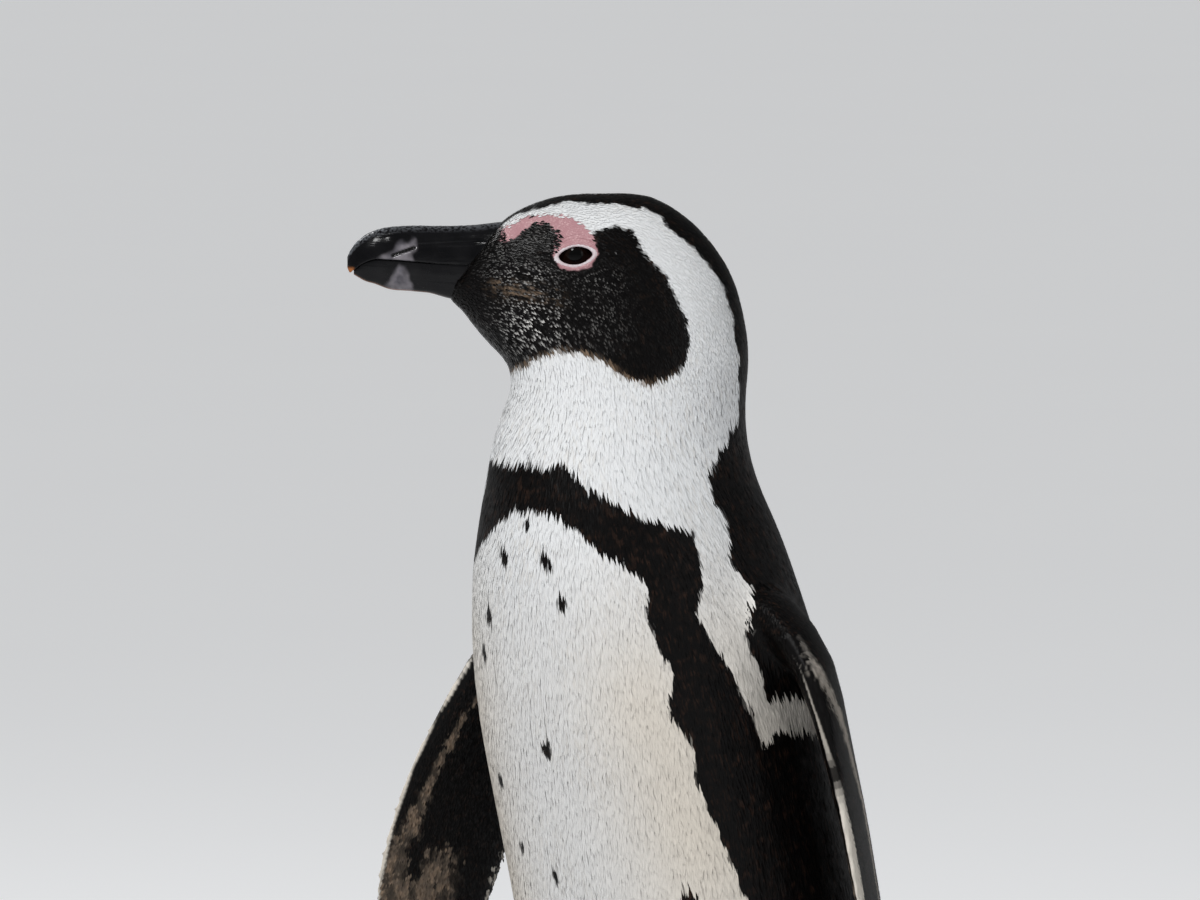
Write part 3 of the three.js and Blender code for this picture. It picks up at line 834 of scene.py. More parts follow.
def vanes(roots, tips, out_root, out_tip, width, depth, rings, thick):
    """Closed vanes, pointed at both ends, with the share along and across of each corner."""
    count = len(roots)
    along = unit(tips - roots)
    across = unit(np.cross(out_root + out_tip, along))
    corners, shares, sides = [roots + out_root * (depth * rise(0.0))[:, None]], [0.0], [0]
    for u, wide in rings:
        out = unit(out_root * (1 - u) + out_tip * u)
        base = roots + (tips - roots) * u + out * (depth * rise(u))[:, None]
        edge = across * (width * wide / 2)[:, None]
        corners += [base - edge, base + out * (thick * wide)[:, None], base + edge]
        shares += [u, u, u]
        sides += [-1, 0, 1]
    corners.append(tips + out_tip * (depth * rise(1.0))[:, None])
    shares.append(1.0)
    sides.append(0)
    each = len(corners)
    corners = np.stack(corners, 1).reshape(-1, 3)
    turns = ((0, 1), (1, 2), (2, 0))
    faces3 = [(0, 1 + k, 1 + m) for k, m in turns]
    faces3 += [(each - 4 + k, each - 1, each - 4 + m) for k, m in turns]
    faces4 = [
        (start + k, start + 3 + k, start + 3 + m, start + m)
        for start in range(1, each - 4, 3) for k, m in turns
    ]
    starts = np.arange(count)[:, None, None] * each
    four = (np.array(faces4, int).reshape(-1, 4)[None] + starts).reshape(-1, 4)
    three = (np.array(faces3)[None] + starts).reshape(-1, 3)
    return corners, four, three, np.tile(shares, count), np.tile(sides, count), each


def mesh_of(name, corners, four, three):
    """A mesh from arrays of four-sided and three-sided faces."""
    me = bpy.data.meshes.new(name)
    me.vertices.add(len(corners))
    me.vertices.foreach_set("co", corners.astype(np.float32).ravel())
    loops = np.concatenate([four.ravel(), three.ravel()]).astype(np.int32)
    me.loops.add(len(loops))
    me.loops.foreach_set("vertex_index", loops)
    starts = np.concatenate([np.arange(len(four)) * 4, len(four) * 4 + np.arange(len(three)) * 3])
    me.polygons.add(len(starts))
    me.polygons.foreach_set("loop_start", starts.astype(np.int32))
    me.update(calc_edges=True)
    me.validate()
    return me


LONG_VANE = [(0.3, 0.8), (0.72, 1.0)]  # share of the length, and of the width there
SHORT_VANE = [(0.52, 1.0)]
MAP_SPOT = 0.0015  # half width of the spot that each feather or scale has in the map
COAT_PIECES = []


def spot_of(across, along):
    """Where each corner lies in the small spot of the map that its feather has."""
    return np.stack([across, (along - 0.5) * 2], -1) * MAP_SPOT


def unwrapped(points, kind):
    """Places on a flat unwrap of the skin, for the corner of each feather's root."""
    p = in_mm(points)
    if kind == "head":
        ahead, left, height = head_mm(points)
        flat = np.stack([(ahead + 60) * np.where(left > 0, 1, -1), height], 1)
    elif kind in ("left", "right"):
        share, across, inner, _, _ = flipper_terms(points, kind)
        flat = np.stack([(across + 1.2) * np.where(inner > 0, 1, -1), share * 3], 1)
    elif kind == "small":
        side = np.sign(p[:, 0])
        angle = np.degrees(np.arctan2(p[:, 0] - side * FOOT_ASIDE, 10 - p[:, 1]))
        flat = np.stack([angle + side * 200, p[:, 2] * 4], 1)
    elif kind == "tail":
        flat = np.stack([p[:, 0], p[:, 2] + 2 * p[:, 1]], 1)
    else:
        angle, _ = girth_terms(points)
        flat = np.stack([angle, p[:, 2]], 1)
    low, high = flat.min(0), flat.max(0)
    return 0.01 + 0.98 * (flat - low) / np.maximum(high - low, 1e-6)


def grow(piece, kind, roots, normals, region, sizes, rings, tree):
    """One piece of coat: a feather at each root, laid along the skin."""
    count = len(roots)
    length, width, depth = (sizes[key] * MM for key in ("length", "width", "depth"))
    way = lie_of_feathers(roots, normals, region)
    sideways = np.cross(normals, way)
    way = unit(way + sideways * RNG.normal(0, 0.08, (count, 1)))
    size = length * RNG.uniform(0.82, 1.18, count)
    aims = roots + way * size[:, None]
    tips, tip_normals = aims.copy(), normals.copy()
    for k, aim in enumerate(aims.tolist()):
        place, normal, _, gap = tree.find_nearest(aim)
        if gap < 1.6 * MM:
            tips[k], tip_normals[k] = place, normal
    deep = depth * RNG.uniform(0.85, 1.0, count)
    wide = width * RNG.uniform(0.8, 1.2, count)
    thick = 0.05 * MM + 0.03 * wide
    corners, four, three, along, across, each = vanes(
        roots, tips, normals, tip_normals, wide, deep, rings, thick
    )
    low, high = np.array(CAD_BOX[0]) + 0.05 * MM, np.array(CAD_BOX[1]) - 0.05 * MM
    corners = np.clip(corners, low, high)
    me = mesh_of(f"coat_{piece}", corners, four, three)
    shown = roots + (tips - roots) * 0.72
    black, brown = plumage(shown, region, 0.35)
    tone = RNG.random(count)
    add_colour(me, "coat", np.repeat(black, each), np.repeat(tone, each), along, 0)
    # The marks carry the painted glints, the brown, the painted warm bounce light and a spare channel.
    marks = [face_glint(shown), brown, painted_bounce_warmth(shown), np.ones(count)]
    add_colour(me, "marks", *np.repeat(marks, each, axis=1))
    out = np.repeat(normals, each, axis=0) * (1 - along[:, None])
    out = out + np.repeat(tip_normals, each, axis=0) * along[:, None]
    side = np.repeat(unit(np.cross(normals, way)), each, axis=0) * across[:, None]
    tilt = RNG.normal(0, 1, (count, 3)) * (0.06 + 0.2 * face_glint(shown))[:, None]
    lean = np.repeat(way * 0.12 + tilt, each, axis=0)
    me.normals_split_custom_set_from_vertices(unit(unit(out) + side * -0.25 + lean))
    place = np.repeat(unwrapped(roots, kind), each, axis=0)
    add_places(me, place + spot_of(across, along))
    ob = add_object(f"coat_{piece}", me)
    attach(ob, "root")
    COAT_PIECES.append(ob)


def coat_measures(part, points):
    """Spacing, length, width and depth of the feathers at some points, in mm."""
    rows = COAT[part]
    if part == "body":
        ahead, _, height = head_mm(points)
        # The cheek's feathers are larger.
        larger = 1 + 0.42 * np.exp(-(((ahead - 30) / 22) ** 2) - ((height - 486) / 13) ** 2)
        return {key: body_size(points, *rows[key]) * (1 if key == "depth" else larger) for key in rows}
    return {key: np.full(len(points), float(rows[key])) for key in rows}


def split_body(roots):
    """The body's coat in pieces small enough for one mesh each."""
    angle, _ = girth_terms(roots)
    ahead, _, height = head_mm(roots)
    front = np.abs(angle) < 88
    cheek = (height > 468) & (outline_distance(ahead, height, MASK) > 0.8)
    pieces = {
        "cheek": ("head", cheek),
        "head": ("head", (height > 470) & ~cheek),
        "neck": ("body", (height <= 470) & (height > 415) & ~cheek),
    }
    levels = ((415, 315), (315, 205), (205, -10))
    for names, mine in ((("breast", "belly", "vent"), front), (("mantle", "back", "rump"), ~front)):
        for name, (top, bottom) in zip(names, levels):
            pieces[name] = ("body", mine & (height <= top) & (height > bottom))
    return pieces


def grow_coat():
    """Scatters feathers over the skin, part by part, and grows each piece of the coat."""
    co = corners_of(skin)
    tree = BVHTree.FromPolygons(co.tolist(), [tuple(p.vertices) for p in skin.data.polygons])
    ahead, left, height = head_terms(co)
    almond = almond_of(ahead - EYE["ahead"], height - EYE["height"])
    open_eye = (almond < 1.6) & (height > 480 * MM) & (np.abs(left) > 8 * MM)
    bare = (pink_depth(co) + 1.1 * noise(co, 1.2 * MM, 31) > 0.8) | open_eye | on_leading_edge(co, 0.88)
    parts = {
        "body": region_is(skin_region, "head", "neck", "trunk"),
        "tail": region_is(skin_region, "tail"),
        **{f"flipper_{side}": mine for side, mine in flippers(skin_region)},
        "leg": region_is(skin_region, "leg"),
    }
    for part, mine in parts.items():
        rule, _, side = part.partition("_")
        roots, normals, corner = scatter(
            skin, mine & ~bare, lambda points: coat_measures(rule, points)["spacing"] * MM
        )
        pieces = {part: (side or {"leg": "small"}.get(part, part), np.ones(len(roots), bool))}
        if part == "body":
            pieces = split_body(roots)
        for piece, (kind, chosen) in pieces.items():
            sizes = coat_measures(rule, roots[chosen])
            grow(
                piece, kind, roots[chosen],
                normals[chosen], skin_region[corner[chosen]], sizes,
                LONG_VANE if piece in ("tail", "leg") else SHORT_VANE, tree,
            )


# Tail feathers and the scales of the feet

# Along the tail: share of its length, half width and half thickness in mm.
TAIL_SHAPE = [(0, 24, 15), (0.25, 28, 11), (0.5, 30, 7), (0.75, 25, 4.2), (0.92, 15, 2.6), (1, 8, 1.6)]
TAIL_QUILLS = 19
QUILL_START = 0.2  # share of the tail's length where the quills leave the coverts
# Round a quill: place across it as a share of its half width, and height in mm.
QUILL_SECTION = [
    (-1, 0), (-0.5, 0.16), (-0.14, 0.24), (0, 0.62), (0.14, 0.24), (0.5, 0.16), (1, 0), (0.4, -0.22),
    (-0.4, -0.22),
]


def tail_feather(fan, layer, order):
    """A stiff tail feather with a raised shaft; fan runs from -1 to 1 across the tail."""
    count = 44
    end = 0.985 - 0.27 * abs(fan) ** 2.2 - 0.03 * RNG.random()
    u = np.linspace(0, 1, count)[:, None]
    q, lift = (np.array(column)[None, :] for column in zip(*QUILL_SECTION))
    tapers = np.where(u > 0.6, 1 - np.clip((u - 0.6) / 0.4, 0, 1) ** 2.4, 0.72 + 0.28 * ramp(u, 0, 0.5))
    frayed = 1 + 0.07 * np.sin(u * 61 + order * 5) * ramp(u, 0.3, 0.8) + 0.05 * np.sin(u * 23 + order)
    half = (3.3 * tapers * frayed + 0.12) * np.ones_like(q)
    share = QUILL_START + (end - QUILL_START) * u * np.ones_like(q)
    x = fan * (10 + 12.5 * u) + q * half
    wide, thick = (np.interp(share, *zip(*[(row[0], row[k]) for row in TAIL_SHAPE])) for k in (1, 2))
    arch = thick * np.sqrt(np.clip(1 - (x / wide) ** 2, 0, 1))
    stack = 0.35 * q * np.sign(fan) - 0.25 * (order % 2) - 0.5
    out = layer * np.maximum(arch + stack, 0.2) + layer * lift * (1.15 - 0.8 * u)
    along, side = unit(TAIL_TIP - TAIL_ROOT), np.array([1.0, 0, 0])
    back = unit(np.cross(side, along))
    points = TAIL_ROOT + (TAIL_TIP - TAIL_ROOT) * share[..., None]
    points = points + (side * x[..., None] + back * out[..., None]) * MM
    return points + ZERO, u * np.ones_like(q), q * np.ones_like(u)


def tail_feathers():
    """Two layers of stiff feathers, over and under the solid tail."""
    corners, tones, worn, places, faces = [], [], [], [], []
    for layer in (1, -1):
        for order, fan in enumerate(np.linspace(-1, 1, TAIL_QUILLS)):
            points, u, q = tail_feather(fan, layer, order)
            count, ring = u.shape
            start = len(corners) * count * ring
            faces += list(start + tube_faces(count, ring)[:, [0, 3, 2, 1]])
            faces += [start + np.arange(ring), start + count * ring - 1 - np.arange(ring)]
            corners.append(points.reshape(-1, 3))
            tone = RNG.random()
            tones.append(np.full(u.size, 0.25 + 0.5 * tone))
            worn.append((0.22 * np.abs(q) ** 3 * ramp(u, 0.4, 1)).ravel())
            root = np.array([0.5 + 0.48 * fan, 0.5 + 0.25 * layer])
            places.append(root + spot_of(q.ravel(), u.ravel()))
    ob = new_object("tail_feathers", np.vstack(corners), faces)
    fix_normals(ob)
    add_colour(ob.data, "coat", 1, np.concatenate(tones), 0.3, 0)
    add_colour(ob.data, "marks", 0, np.concatenate(worn), 0, 1)
    add_places(ob.data, np.vstack(places))
    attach(ob, "root")
    COAT_PIECES.append(ob)


def foot_scales():
    """Small domed scales over the feet, each six-sided and closed."""
    foot = region_is(skin_region, "foot") & (corners_of(skin)[:, 2] > 1.2 * MM)
    spacing = 1.55 * MM
    roots, normals, _ = scatter(skin, foot, lambda points: np.full(len(points), spacing))
    count = len(roots)
    first = unit(np.cross(normals, np.array([0.0, 1, 0.3])))
    second = np.cross(normals, first)
    size = spacing * RNG.uniform(0.54, 0.66, count)[:, None]
    turn = RNG.uniform(0, 1, count)
    ring = []
    for k in range(6):
        angle = (turn + k) * math.pi / 3
        ring.append(first * np.cos(angle)[:, None] + second * np.sin(angle)[:, None])
    corners = [roots + way * size - normals * 0.06 * MM for way in ring]
    corners = np.stack(corners + [roots + normals * 0.26 * MM, roots - normals * 0.3 * MM], 1)
    corners[..., 2] = np.maximum(corners[..., 2], 0.02 * MM)
    sides = [(k, (k + 1) % 6, 6) for k in range(6)] + [((k + 1) % 6, k, 7) for k in range(6)]
    three = (np.array(sides)[None] + np.arange(count)[:, None, None] * 8).reshape(-1, 3)
    me = mesh_of("foot_scales", corners.reshape(-1, 3), np.zeros((0, 4), int), three)
    out = np.stack([normals + 0.75 * way for way in ring] + [normals, -normals], 1)
    me.normals_split_custom_set_from_vertices(unit(out.reshape(-1, 3)))
    tone = np.repeat(RNG.random(count), 8)
    rim = np.tile([0.0] * 6 + [1.0, 0], count)
    add_colour(me, "scale", tone, rim, tone, 1)
    spot = [(math.cos(k), math.sin(k)) for k in range(6)] + [(0, 0)] * 2
    add_places(me, np.repeat(unwrapped(roots, "small"), 8, axis=0) + np.tile(spot, (count, 1)) * MAP_SPOT)
    ob = add_object("foot_scales", me)
    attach(ob, "root")
    return ob


grow_coat()
tail_feathers()
scales = foot_scales()


# Procedural materials

WRINKLE_RANGE = 8  # the skin's fourth mark is the distance from the eye opening over this
WRINKLES = 5.5  # in the width of the eye opening


class Look:
    """Builds one node material, each call adding a node and returning its output."""

    def __init__(self, name):
        self.material = bpy.data.materials.new(name)
        self.material.use_nodes = True
        self.tree = self.material.node_tree
        self.shader = self.tree.nodes["Principled BSDF"]
        self.place = self.add("ShaderNodeTexCoord").outputs["Object"]

    def add(self, kind, **settings):
        node = self.tree.nodes.new(kind)
        for key, value in settings.items():
            setattr(node, key, value)
        return node

    def link(self, source, socket):
        """Gives a socket another node's output, or a plain value."""
        if isinstance(source, bpy.types.NodeSocket):
            self.tree.links.new(source, socket)
        else:
            socket.default_value = source

    def set(self, **values):
        for key, value in values.items():
            self.link(value, self.shader.inputs[key.replace("_", " ")])

    def channels(self, name):
        """The four channels of a colour that the mesh carries."""
        node = self.add("ShaderNodeAttribute", attribute_name=name)
        split = self.add("ShaderNodeSeparateColor")
        self.link(node.outputs["Color"], split.inputs[0])
        return (*split.outputs[:3], node.outputs["Alpha"])

    def noise(self, scale, detail=3.0, stretch=(1, 1, 1), rough=0.5):
        mapping = self.add("ShaderNodeMapping")
        mapping.inputs["Scale"].default_value = stretch
        self.link(self.place, mapping.inputs["Vector"])
        node = self.add("ShaderNodeTexNoise")
        self.link(mapping.outputs[0], node.inputs["Vector"])
        node.inputs["Scale"].default_value = scale
        node.inputs["Detail"].default_value = detail
        node.inputs["Roughness"].default_value = rough
        return node.outputs["Fac"]

    def cells(self, scale):
        node = self.add("ShaderNodeTexVoronoi")
        self.link(self.place, node.inputs["Vector"])
        node.inputs["Scale"].default_value = scale
        return node.outputs["Distance"]

    def range(self, value, low, high, to_low=0.0, to_high=1.0):
        node = self.add("ShaderNodeMapRange")
        self.link(value, node.inputs["Value"])
        for name, number in zip(("From Min", "From Max", "To Min", "To Max"), (low, high, to_low, to_high)):
            node.inputs[name].default_value = number
        return node.outputs["Result"]

    def math(self, operation, a, b=0.5):
        node = self.add("ShaderNodeMath", operation=operation)
        self.link(a, node.inputs[0])
        self.link(b, node.inputs[1])
        return node.outputs[0]

    def times(self, a, b):
        return self.math("MULTIPLY", a, b)

    def plus(self, a, b):
        return self.math("ADD", a, b)

    def mix(self, share, a, b):
        node = self.add("ShaderNodeMix", data_type="RGBA")
        self.link(share, node.inputs[0])
        for value, socket in ((a, node.inputs[6]), (b, node.inputs[7])):
            self.link((*value, 1) if isinstance(value, tuple) else value, socket)
        return node.outputs[2]

    def bump(self, height, strength, distance):
        node = self.add("ShaderNodeBump")
        self.link(height, node.inputs["Height"])
        node.inputs["Strength"].default_value = strength
        node.inputs["Distance"].default_value = distance
        self.link(node.outputs[0], self.shader.inputs["Normal"])


def plumage_look(name, specular, shine, fleck):
    """Plumage, with the roughness that its black has and the colour of its flecks."""
    look = Look(name)
    black, tone, along, bare = look.channels("coat")
    glint, brown, bounce_warmth, wrinkle = look.channels("marks")
    clumps = look.noise(300, 3)
    # Painted warm bounce light: the white turns creamy low on the body and on its sides.
    white = look.mix(bounce_warmth, (0.80, 0.81, 0.815), (0.78, 0.705, 0.60))
    dusty = look.range(tone, 0.55, 1)
    dusty = look.times(dusty, look.range(look.noise(35, 3), 0.4, 0.7, 0.1, 0.4))
    white = look.mix(dusty, white, (0.58, 0.53, 0.46))
    flecks = look.times(look.range(clumps, 0.46, 0.68), look.range(tone, 0.4, 0.95))
    flecks = look.times(flecks, look.range(glint, 0, 0.1, 1, 0.2))
    ink = look.mix(flecks, (0.0032, 0.0028, 0.0028), fleck)
    # Painted highlights: pale tips on the face's small feathers, as strong as the glint mark.
    tips = look.times(look.range(along, 0.5, 0.8), look.range(tone, 0.35, 0.5))
    tips = look.times(tips, look.range(look.noise(420, 2), 0.40, 0.52))
    ink = look.mix(look.times(tips, glint), ink, (0.74, 0.72, 0.69))
    tan = look.mix(tone, (0.40, 0.285, 0.195), (0.07, 0.045, 0.03))
    plain = look.mix(black, white, ink)
    plain = look.mix(brown, plain, tan)
    dots = look.cells(1150)
    flush = look.range(look.noise(230, 3), 0.3, 0.7)
    flush = look.times(flush, look.range(dots, 0.1, 0.55, 1, 0.15))
    crease = look.math("SINE", look.times(wrinkle, WRINKLE_RANGE * 2 * math.pi * WRINKLES))
    flush = look.plus(flush, look.times(crease, 0.12))
    skin_pink = look.mix(flush, (0.43, 0.225, 0.245), (0.68, 0.46, 0.46))
    look.set(Base_Color=look.mix(bare, plain, skin_pink), Roughness=look.range(black, 0, 1, 0.6, shine))
    look.set(Specular_IOR_Level=specular)
    beads = look.range(dots, 0, 0.6, 1, 0)
    beads = look.times(look.plus(beads, crease), bare)
    look.bump(look.plus(look.noise(900, 2, (1, 1, 0.3)), beads), 0.3, 0.0003)
    return look.material


def foot_look():
    """Dull black skin, with greyer scales."""
    look = Look("foot_skin")
    tone, crown, _, _ = look.channels("scale")
    patches = look.range(look.noise(60, 4), 0.48, 0.66)
    base = look.mix(patches, (0.014, 0.012, 0.0115), (0.060, 0.044, 0.039))
    base = look.mix(look.times(tone, crown), base, (0.085, 0.073, 0.068))
    look.set(Base_Color=base, Roughness=look.range(look.noise(300), 0.3, 0.7, 0.42, 0.62))
    look.bump(look.cells(620), 0.5, 0.0006)
    return look.material


def paint_skin():
    """Gives the skin the colours of the coat over it, the bare patch, and the feet's finish."""
    co = corners_of(skin)
    black, brown = plumage(co, skin_region)
    bare = ramp(pink_depth(co) + 0.5 * noise(co, 1.6 * MM, 4), -0.2, 0.5)
    add_colour(skin.data, "coat", black, 0.4, 0.5, bare)
    ahead, _, height = head_terms(co)
    wrinkle = almond_of(ahead - EYE["ahead"], height - EYE["height"]) / WRINKLE_RANGE
    # The skin's marks: faint painted glints, the brown, the painted warm bounce light and the eye's
    # wrinkles.
    add_colour(skin.data, "marks", 0.3 * face_glint(co), brown, painted_bounce_warmth(co), wrinkle)
    skin.data.materials.append(plumage_coat)
    skin.data.materials.append(foot_skin)
    foot = region_is(skin_region, "foot")
    polygons = np.array([foot[list(p.vertices)].all() for p in skin.data.polygons], np.int32)
    skin.data.polygons.foreach_set("material_index", polygons)


foot_skin = foot_look()
scales.data.materials.append(foot_skin)
plumage_coat = plumage_look("plumage", 0.07, 0.42, (0.027, 0.0145, 0.010))
plumage_cheek = plumage_look("plumage_cheek", 0.08, 0.26, (0.013, 0.008, 0.006))
paint_skin()
for ob in COAT_PIECES:
    ob.data.materials.append(plumage_cheek if ob.name == "coat_cheek" else plumage_coat)
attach(skin, "root")
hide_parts(*FLESH)


# Bill


def spline(x, rows, column):
    """A smooth curve through one column of a table whose first column rises."""
    xs, ys = (np.array(rows, float)[:, k] for k in (0, column))
    slope = np.gradient(ys, xs)
    k = np.clip(np.searchsorted(xs, x) - 1, 0, len(xs) - 2)
    step = xs[k + 1] - xs[k]
    t = (x - xs[k]) / step
    return (
        (1 + 2 * t) * (1 - t) ** 2 * ys[k] + t * (1 - t) ** 2 * step * slope[k]
        + t * t * (3 - 2 * t) * ys[k + 1] + t * t * (t - 1) * step * slope[k + 1]
    )


# Along the bill in mm: distance ahead, top and bottom heights, and half width at the mouth.
UPPER_BILL = [
    (38, 529, 512.2, 8.6), (46.8, 528.4, 512.3, 8), (58.3, 527.2, 512.4, 7.2), (70, 526.9, 512.8, 6.7),
    (82, 527, 513.8, 6.5), (90, 526.4, 514.4, 6.3), (96, 524.9, 514.2, 5.7), (100.6, 522.2, 512.2, 4.6),
    (103.6, 519.2, 509.9, 3.1), (105.2, 516.6, 509.2, 1.6), (105.9, 514.8, 510.8, 0.6),
]
LOWER_BILL = [
    (40, 512, 497, 8.4), (58, 512, 497.4, 7), (67.4, 512.3, 499, 6.4), (74.1, 512.8, 500.8, 6),
    (82, 513.5, 501.6, 5.8), (90, 514, 502.4, 5.4), (95, 513.8, 504.3, 4.7), (98.8, 512.2, 505.4, 3.9),
    (101.6, 510.4, 506.9, 2.9), (103.4, 509, 508, 1.6),
]
MOUTH_GAP = 0.16  # in mm
NOSTRIL = ((88.2, 515.9), (80, 518.9))  # the two ends of its slit
GREY_UPPER = [
    (95, 513.5), (88, 517.5), (86, 520.5), (79.5, 522), (79, 519), (81, 516.5), (80, 513), (88, 512.5),
]
GREY_LOWER = [(87, 511), (84.5, 511), (78.5, 500), (92.5, 500)]


def bill_half(name, rows, upright):
    """Half of the bill: an arch over the flat mouth line, with its nostrils, grooves and plates."""
    length, around = 230, 84
    share = np.linspace(0, 1, length)
    ahead = rows[0][0] + (rows[-1][0] - rows[0][0]) * (1 - (1 - share) ** 1.35)
    top, bottom, half = (spline(ahead, rows, k) for k in (1, 2, 3))
    mouth, crest = (bottom, top) if upright else (spline(ahead, UPPER_BILL, 2) - MOUTH_GAP, bottom)
    angle = np.linspace(0, math.pi, around)
    left = half[:, None] * np.sign(np.cos(angle)) * np.abs(np.cos(angle)) ** 0.8
    height = mouth[:, None] + (crest - mouth)[:, None] * np.clip(np.sin(angle), 0, 1) ** 0.9
    under = np.linspace(1, -1, 10)[1:-1][::-1]
    sink = (0.9 if upright else -0.9) * (1 - under**2) * np.minimum(half, 3)[:, None] / 3
    left = np.hstack([left, half[:, None] * under])
    height = np.hstack([height, mouth[:, None] + sink])
    ring = left.shape[1]
    points = from_head(np.repeat(ahead, ring) * MM, left.ravel() * MM, height.ravel() * MM)
    ends = [range(ring)[::-1], range((length - 1) * ring, length * ring)]
    ob = new_object(name, points, [*tube_faces(length, ring), *ends])
    bm = bmesh.new()
    bm.from_mesh(ob.data)
    bmesh.ops.recalc_face_normals(bm, faces=bm.faces)
    bmesh.ops.triangulate(bm, faces=[f for f in bm.faces if len(f.verts) > 4])
    bm.to_mesh(ob.data)
    bm.free()
    a, across, h = head_mm(points)
    out = np.zeros(len(points))
    outer = np.tile(np.arange(ring) < around, length)
    if upright:
        slit = segment_gap(a, h, *NOSTRIL)
        side = np.abs(across) > 2
        out -= side * 0.95 * bell(slit, 0.42)
        out += side * 0.1 * bell(slit - 1.4, 0.6)
        groove = h - np.interp(a, [50, 80.6], [521.5, 519.6])
        out -= side * 0.4 * bell(groove, 0.8) * ramp(a, 50, 58) * (1 - ramp(a, 79, 82))
        crest_gap = read_off(a, [row[:2] for row in rows]) - h
        out -= 0.22 * bell(crest_gap - 2.6, 0.5) * ramp(a, 50, 56) * (1 - ramp(a, 86, 96))
        out += 0.1 * bell(crest_gap, 1.8) * noise(points, 0.9 * MM, 11) * ramp(a, 50, 60)
        # Painted shade: the nostril slit is coloured near black.
        painted_slit_shade = ramp(-slit, -1, -0.5)
        horn = ramp(a, 102.6, 104) * (1 - ramp(h, 510, 511.6))
        # Pale wear along the ridge, strengthened towards the tip as a painted highlight.
        crest = np.clip(1 - np.abs(crest_gap) / 2.4, 0, 1) * (0.5 + 0.5 * ramp(a, 84, 98))
    else:
        edge_gap = spline(np.clip(a, rows[0][0], rows[-1][0]), rows, 2) - h
        groove = h - np.interp(a, [55, 90], [505, 507.2])
        out -= 0.25 * bell(groove, 0.9) * ramp(a, 56, 64) * (1 - ramp(a, 84, 92))
        horn = 0.45 * ramp(edge_gap, -0.9, -0.25) * ramp(a, 62, 90)
        painted_slit_shade = crest = 0
    out += 0.05 * noise(points, 2.5 * MM, 12)
    set_corners(ob, points + normals_of(ob) * (out * outer * MM)[:, None])
    grey = outline_distance(a, h, GREY_UPPER if upright else GREY_LOWER)
    grey = ramp(grey + 1.3 * noise(points, 2.2 * MM, 13), -1.2, 1.6)
    grey = grey * (0.8 + 0.2 * noise(points * [1, 1, 0.4], 1.5 * MM, 14))
    add_colour(ob.data, "horn", grey, horn, crest, 1 - painted_slit_shade)
    return ob


def bill_look():
    """Black horn, grey near the hook, pale at its tip and worn along its ridge, the wear lightened towards
    the tip as a painted highlight, with painted shade in the nostril slit.
    """
    look = Look("bill_horn")
    grey, tip, crest, outside_slit_shade = look.channels("horn")
    smoke = look.noise(120, 4)
    base = look.mix(look.range(smoke, 0.4, 0.75), (0.0026, 0.0026, 0.0032), (0.006, 0.0058, 0.0066))
    pale = look.mix(look.range(look.noise(150, 4), 0.35, 0.65), (0.095, 0.090, 0.105), (0.27, 0.25, 0.27))
    base = look.mix(grey, base, pale)
    base = look.mix(tip, base, (0.34, 0.12, 0.035))
    # Painted shade: near black inside the nostril slit.
    base = look.mix(outside_slit_shade, (0.002, 0.002, 0.002), base)
    scratches = look.noise(70, 3, (1, 1, 9), 0.65)
    # Pale wear along the ridge, lighter towards the tip as a painted highlight.
    worn = look.times(crest, look.range(look.noise(950, 3), 0.4, 0.58))
    base = look.mix(look.times(worn, 0.8), base, (0.22, 0.23, 0.25))
    look.set(Base_Color=base, Roughness=look.range(scratches, 0.3, 0.75, 0.07, 0.2))
    look.set(Specular_IOR_Level=0.14)
    pits = look.times(look.noise(1300, 2), look.range(crest, 0, 1, 0.15, 1))
    look.bump(look.plus(scratches, pits), 0.35, 0.0003)
    return look.material


bill_horn = bill_look()
for half, rows in (("upper", UPPER_BILL), ("lower", LOWER_BILL)):
    bill = bill_half(f"bill_{half}_horn", rows, half == "upper")
    bill.data.materials.append(bill_horn)
    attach(bill, "root")
    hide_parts(f"bill_{half}")


# Eyes


def level_at(fit, a, h):
    """How far out the skin lies round an eye opening."""
    return fit[0] + fit[1] * a + fit[2] * h + fit[3] * a * a + fit[4] * a * h + fit[5] * h * h


def eyeball(side, sign):
    """A ball with a raised cornea, its iris and pupil told apart by distance from its axis."""
    rows, turns = 64, 96
    polar = np.linspace(0, math.pi, rows + 1)[1:-1]
    spin = np.linspace(0, 2 * math.pi, turns, endpoint=False)
    radius = EYE["radius"] + CORNEA * bell(polar, 0.42, 4)
    centre = eye_fit[sign][0] - MM - EYE["radius"] - CORNEA
    out = np.repeat(radius * np.cos(polar), turns)
    flat = np.repeat(radius * np.sin(polar), turns)
    ahead = EYE["ahead"] + flat * np.tile(np.cos(spin), len(polar))
    height = EYE["height"] + flat * np.tile(np.sin(spin), len(polar))
    points = from_head(ahead, sign * (centre + out), height)
    reach = np.array([1, -1]) * (EYE["radius"] + np.array([CORNEA, 0])) * sign
    points = np.vstack([points, from_head(EYE["ahead"], reach + sign * centre, EYE["height"])])
    faces = list(tube_faces(len(polar), turns))
    start = (len(polar) - 1) * turns
    for k in range(turns):
        m = (k + 1) % turns
        faces += [(k, len(points) - 2, m), (start + m, len(points) - 1, start + k)]
    ob = new_object(f"eyeball_{side}", points, faces)
    fix_normals(ob)
    a, _, h = head_terms(points)
    a, h = a - EYE["ahead"], h - EYE["height"]
    away = np.hypot(a, h) / MM
    streak = 0.5 + 0.5 * np.sin(np.arctan2(h, a) * 47 + 3 * noise(points, 1.2 * MM, 20))
    iris = ramp(away, 2.5, 2.8) * (1 - ramp(away, 5.2, 5.8))
    add_colour(ob.data, "iris", iris, streak, ramp(away, 5.2, 6.2), 1)
    ob.data.materials.append(eye_wet)
    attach(ob, "root")
    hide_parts(f"eye_{side}")


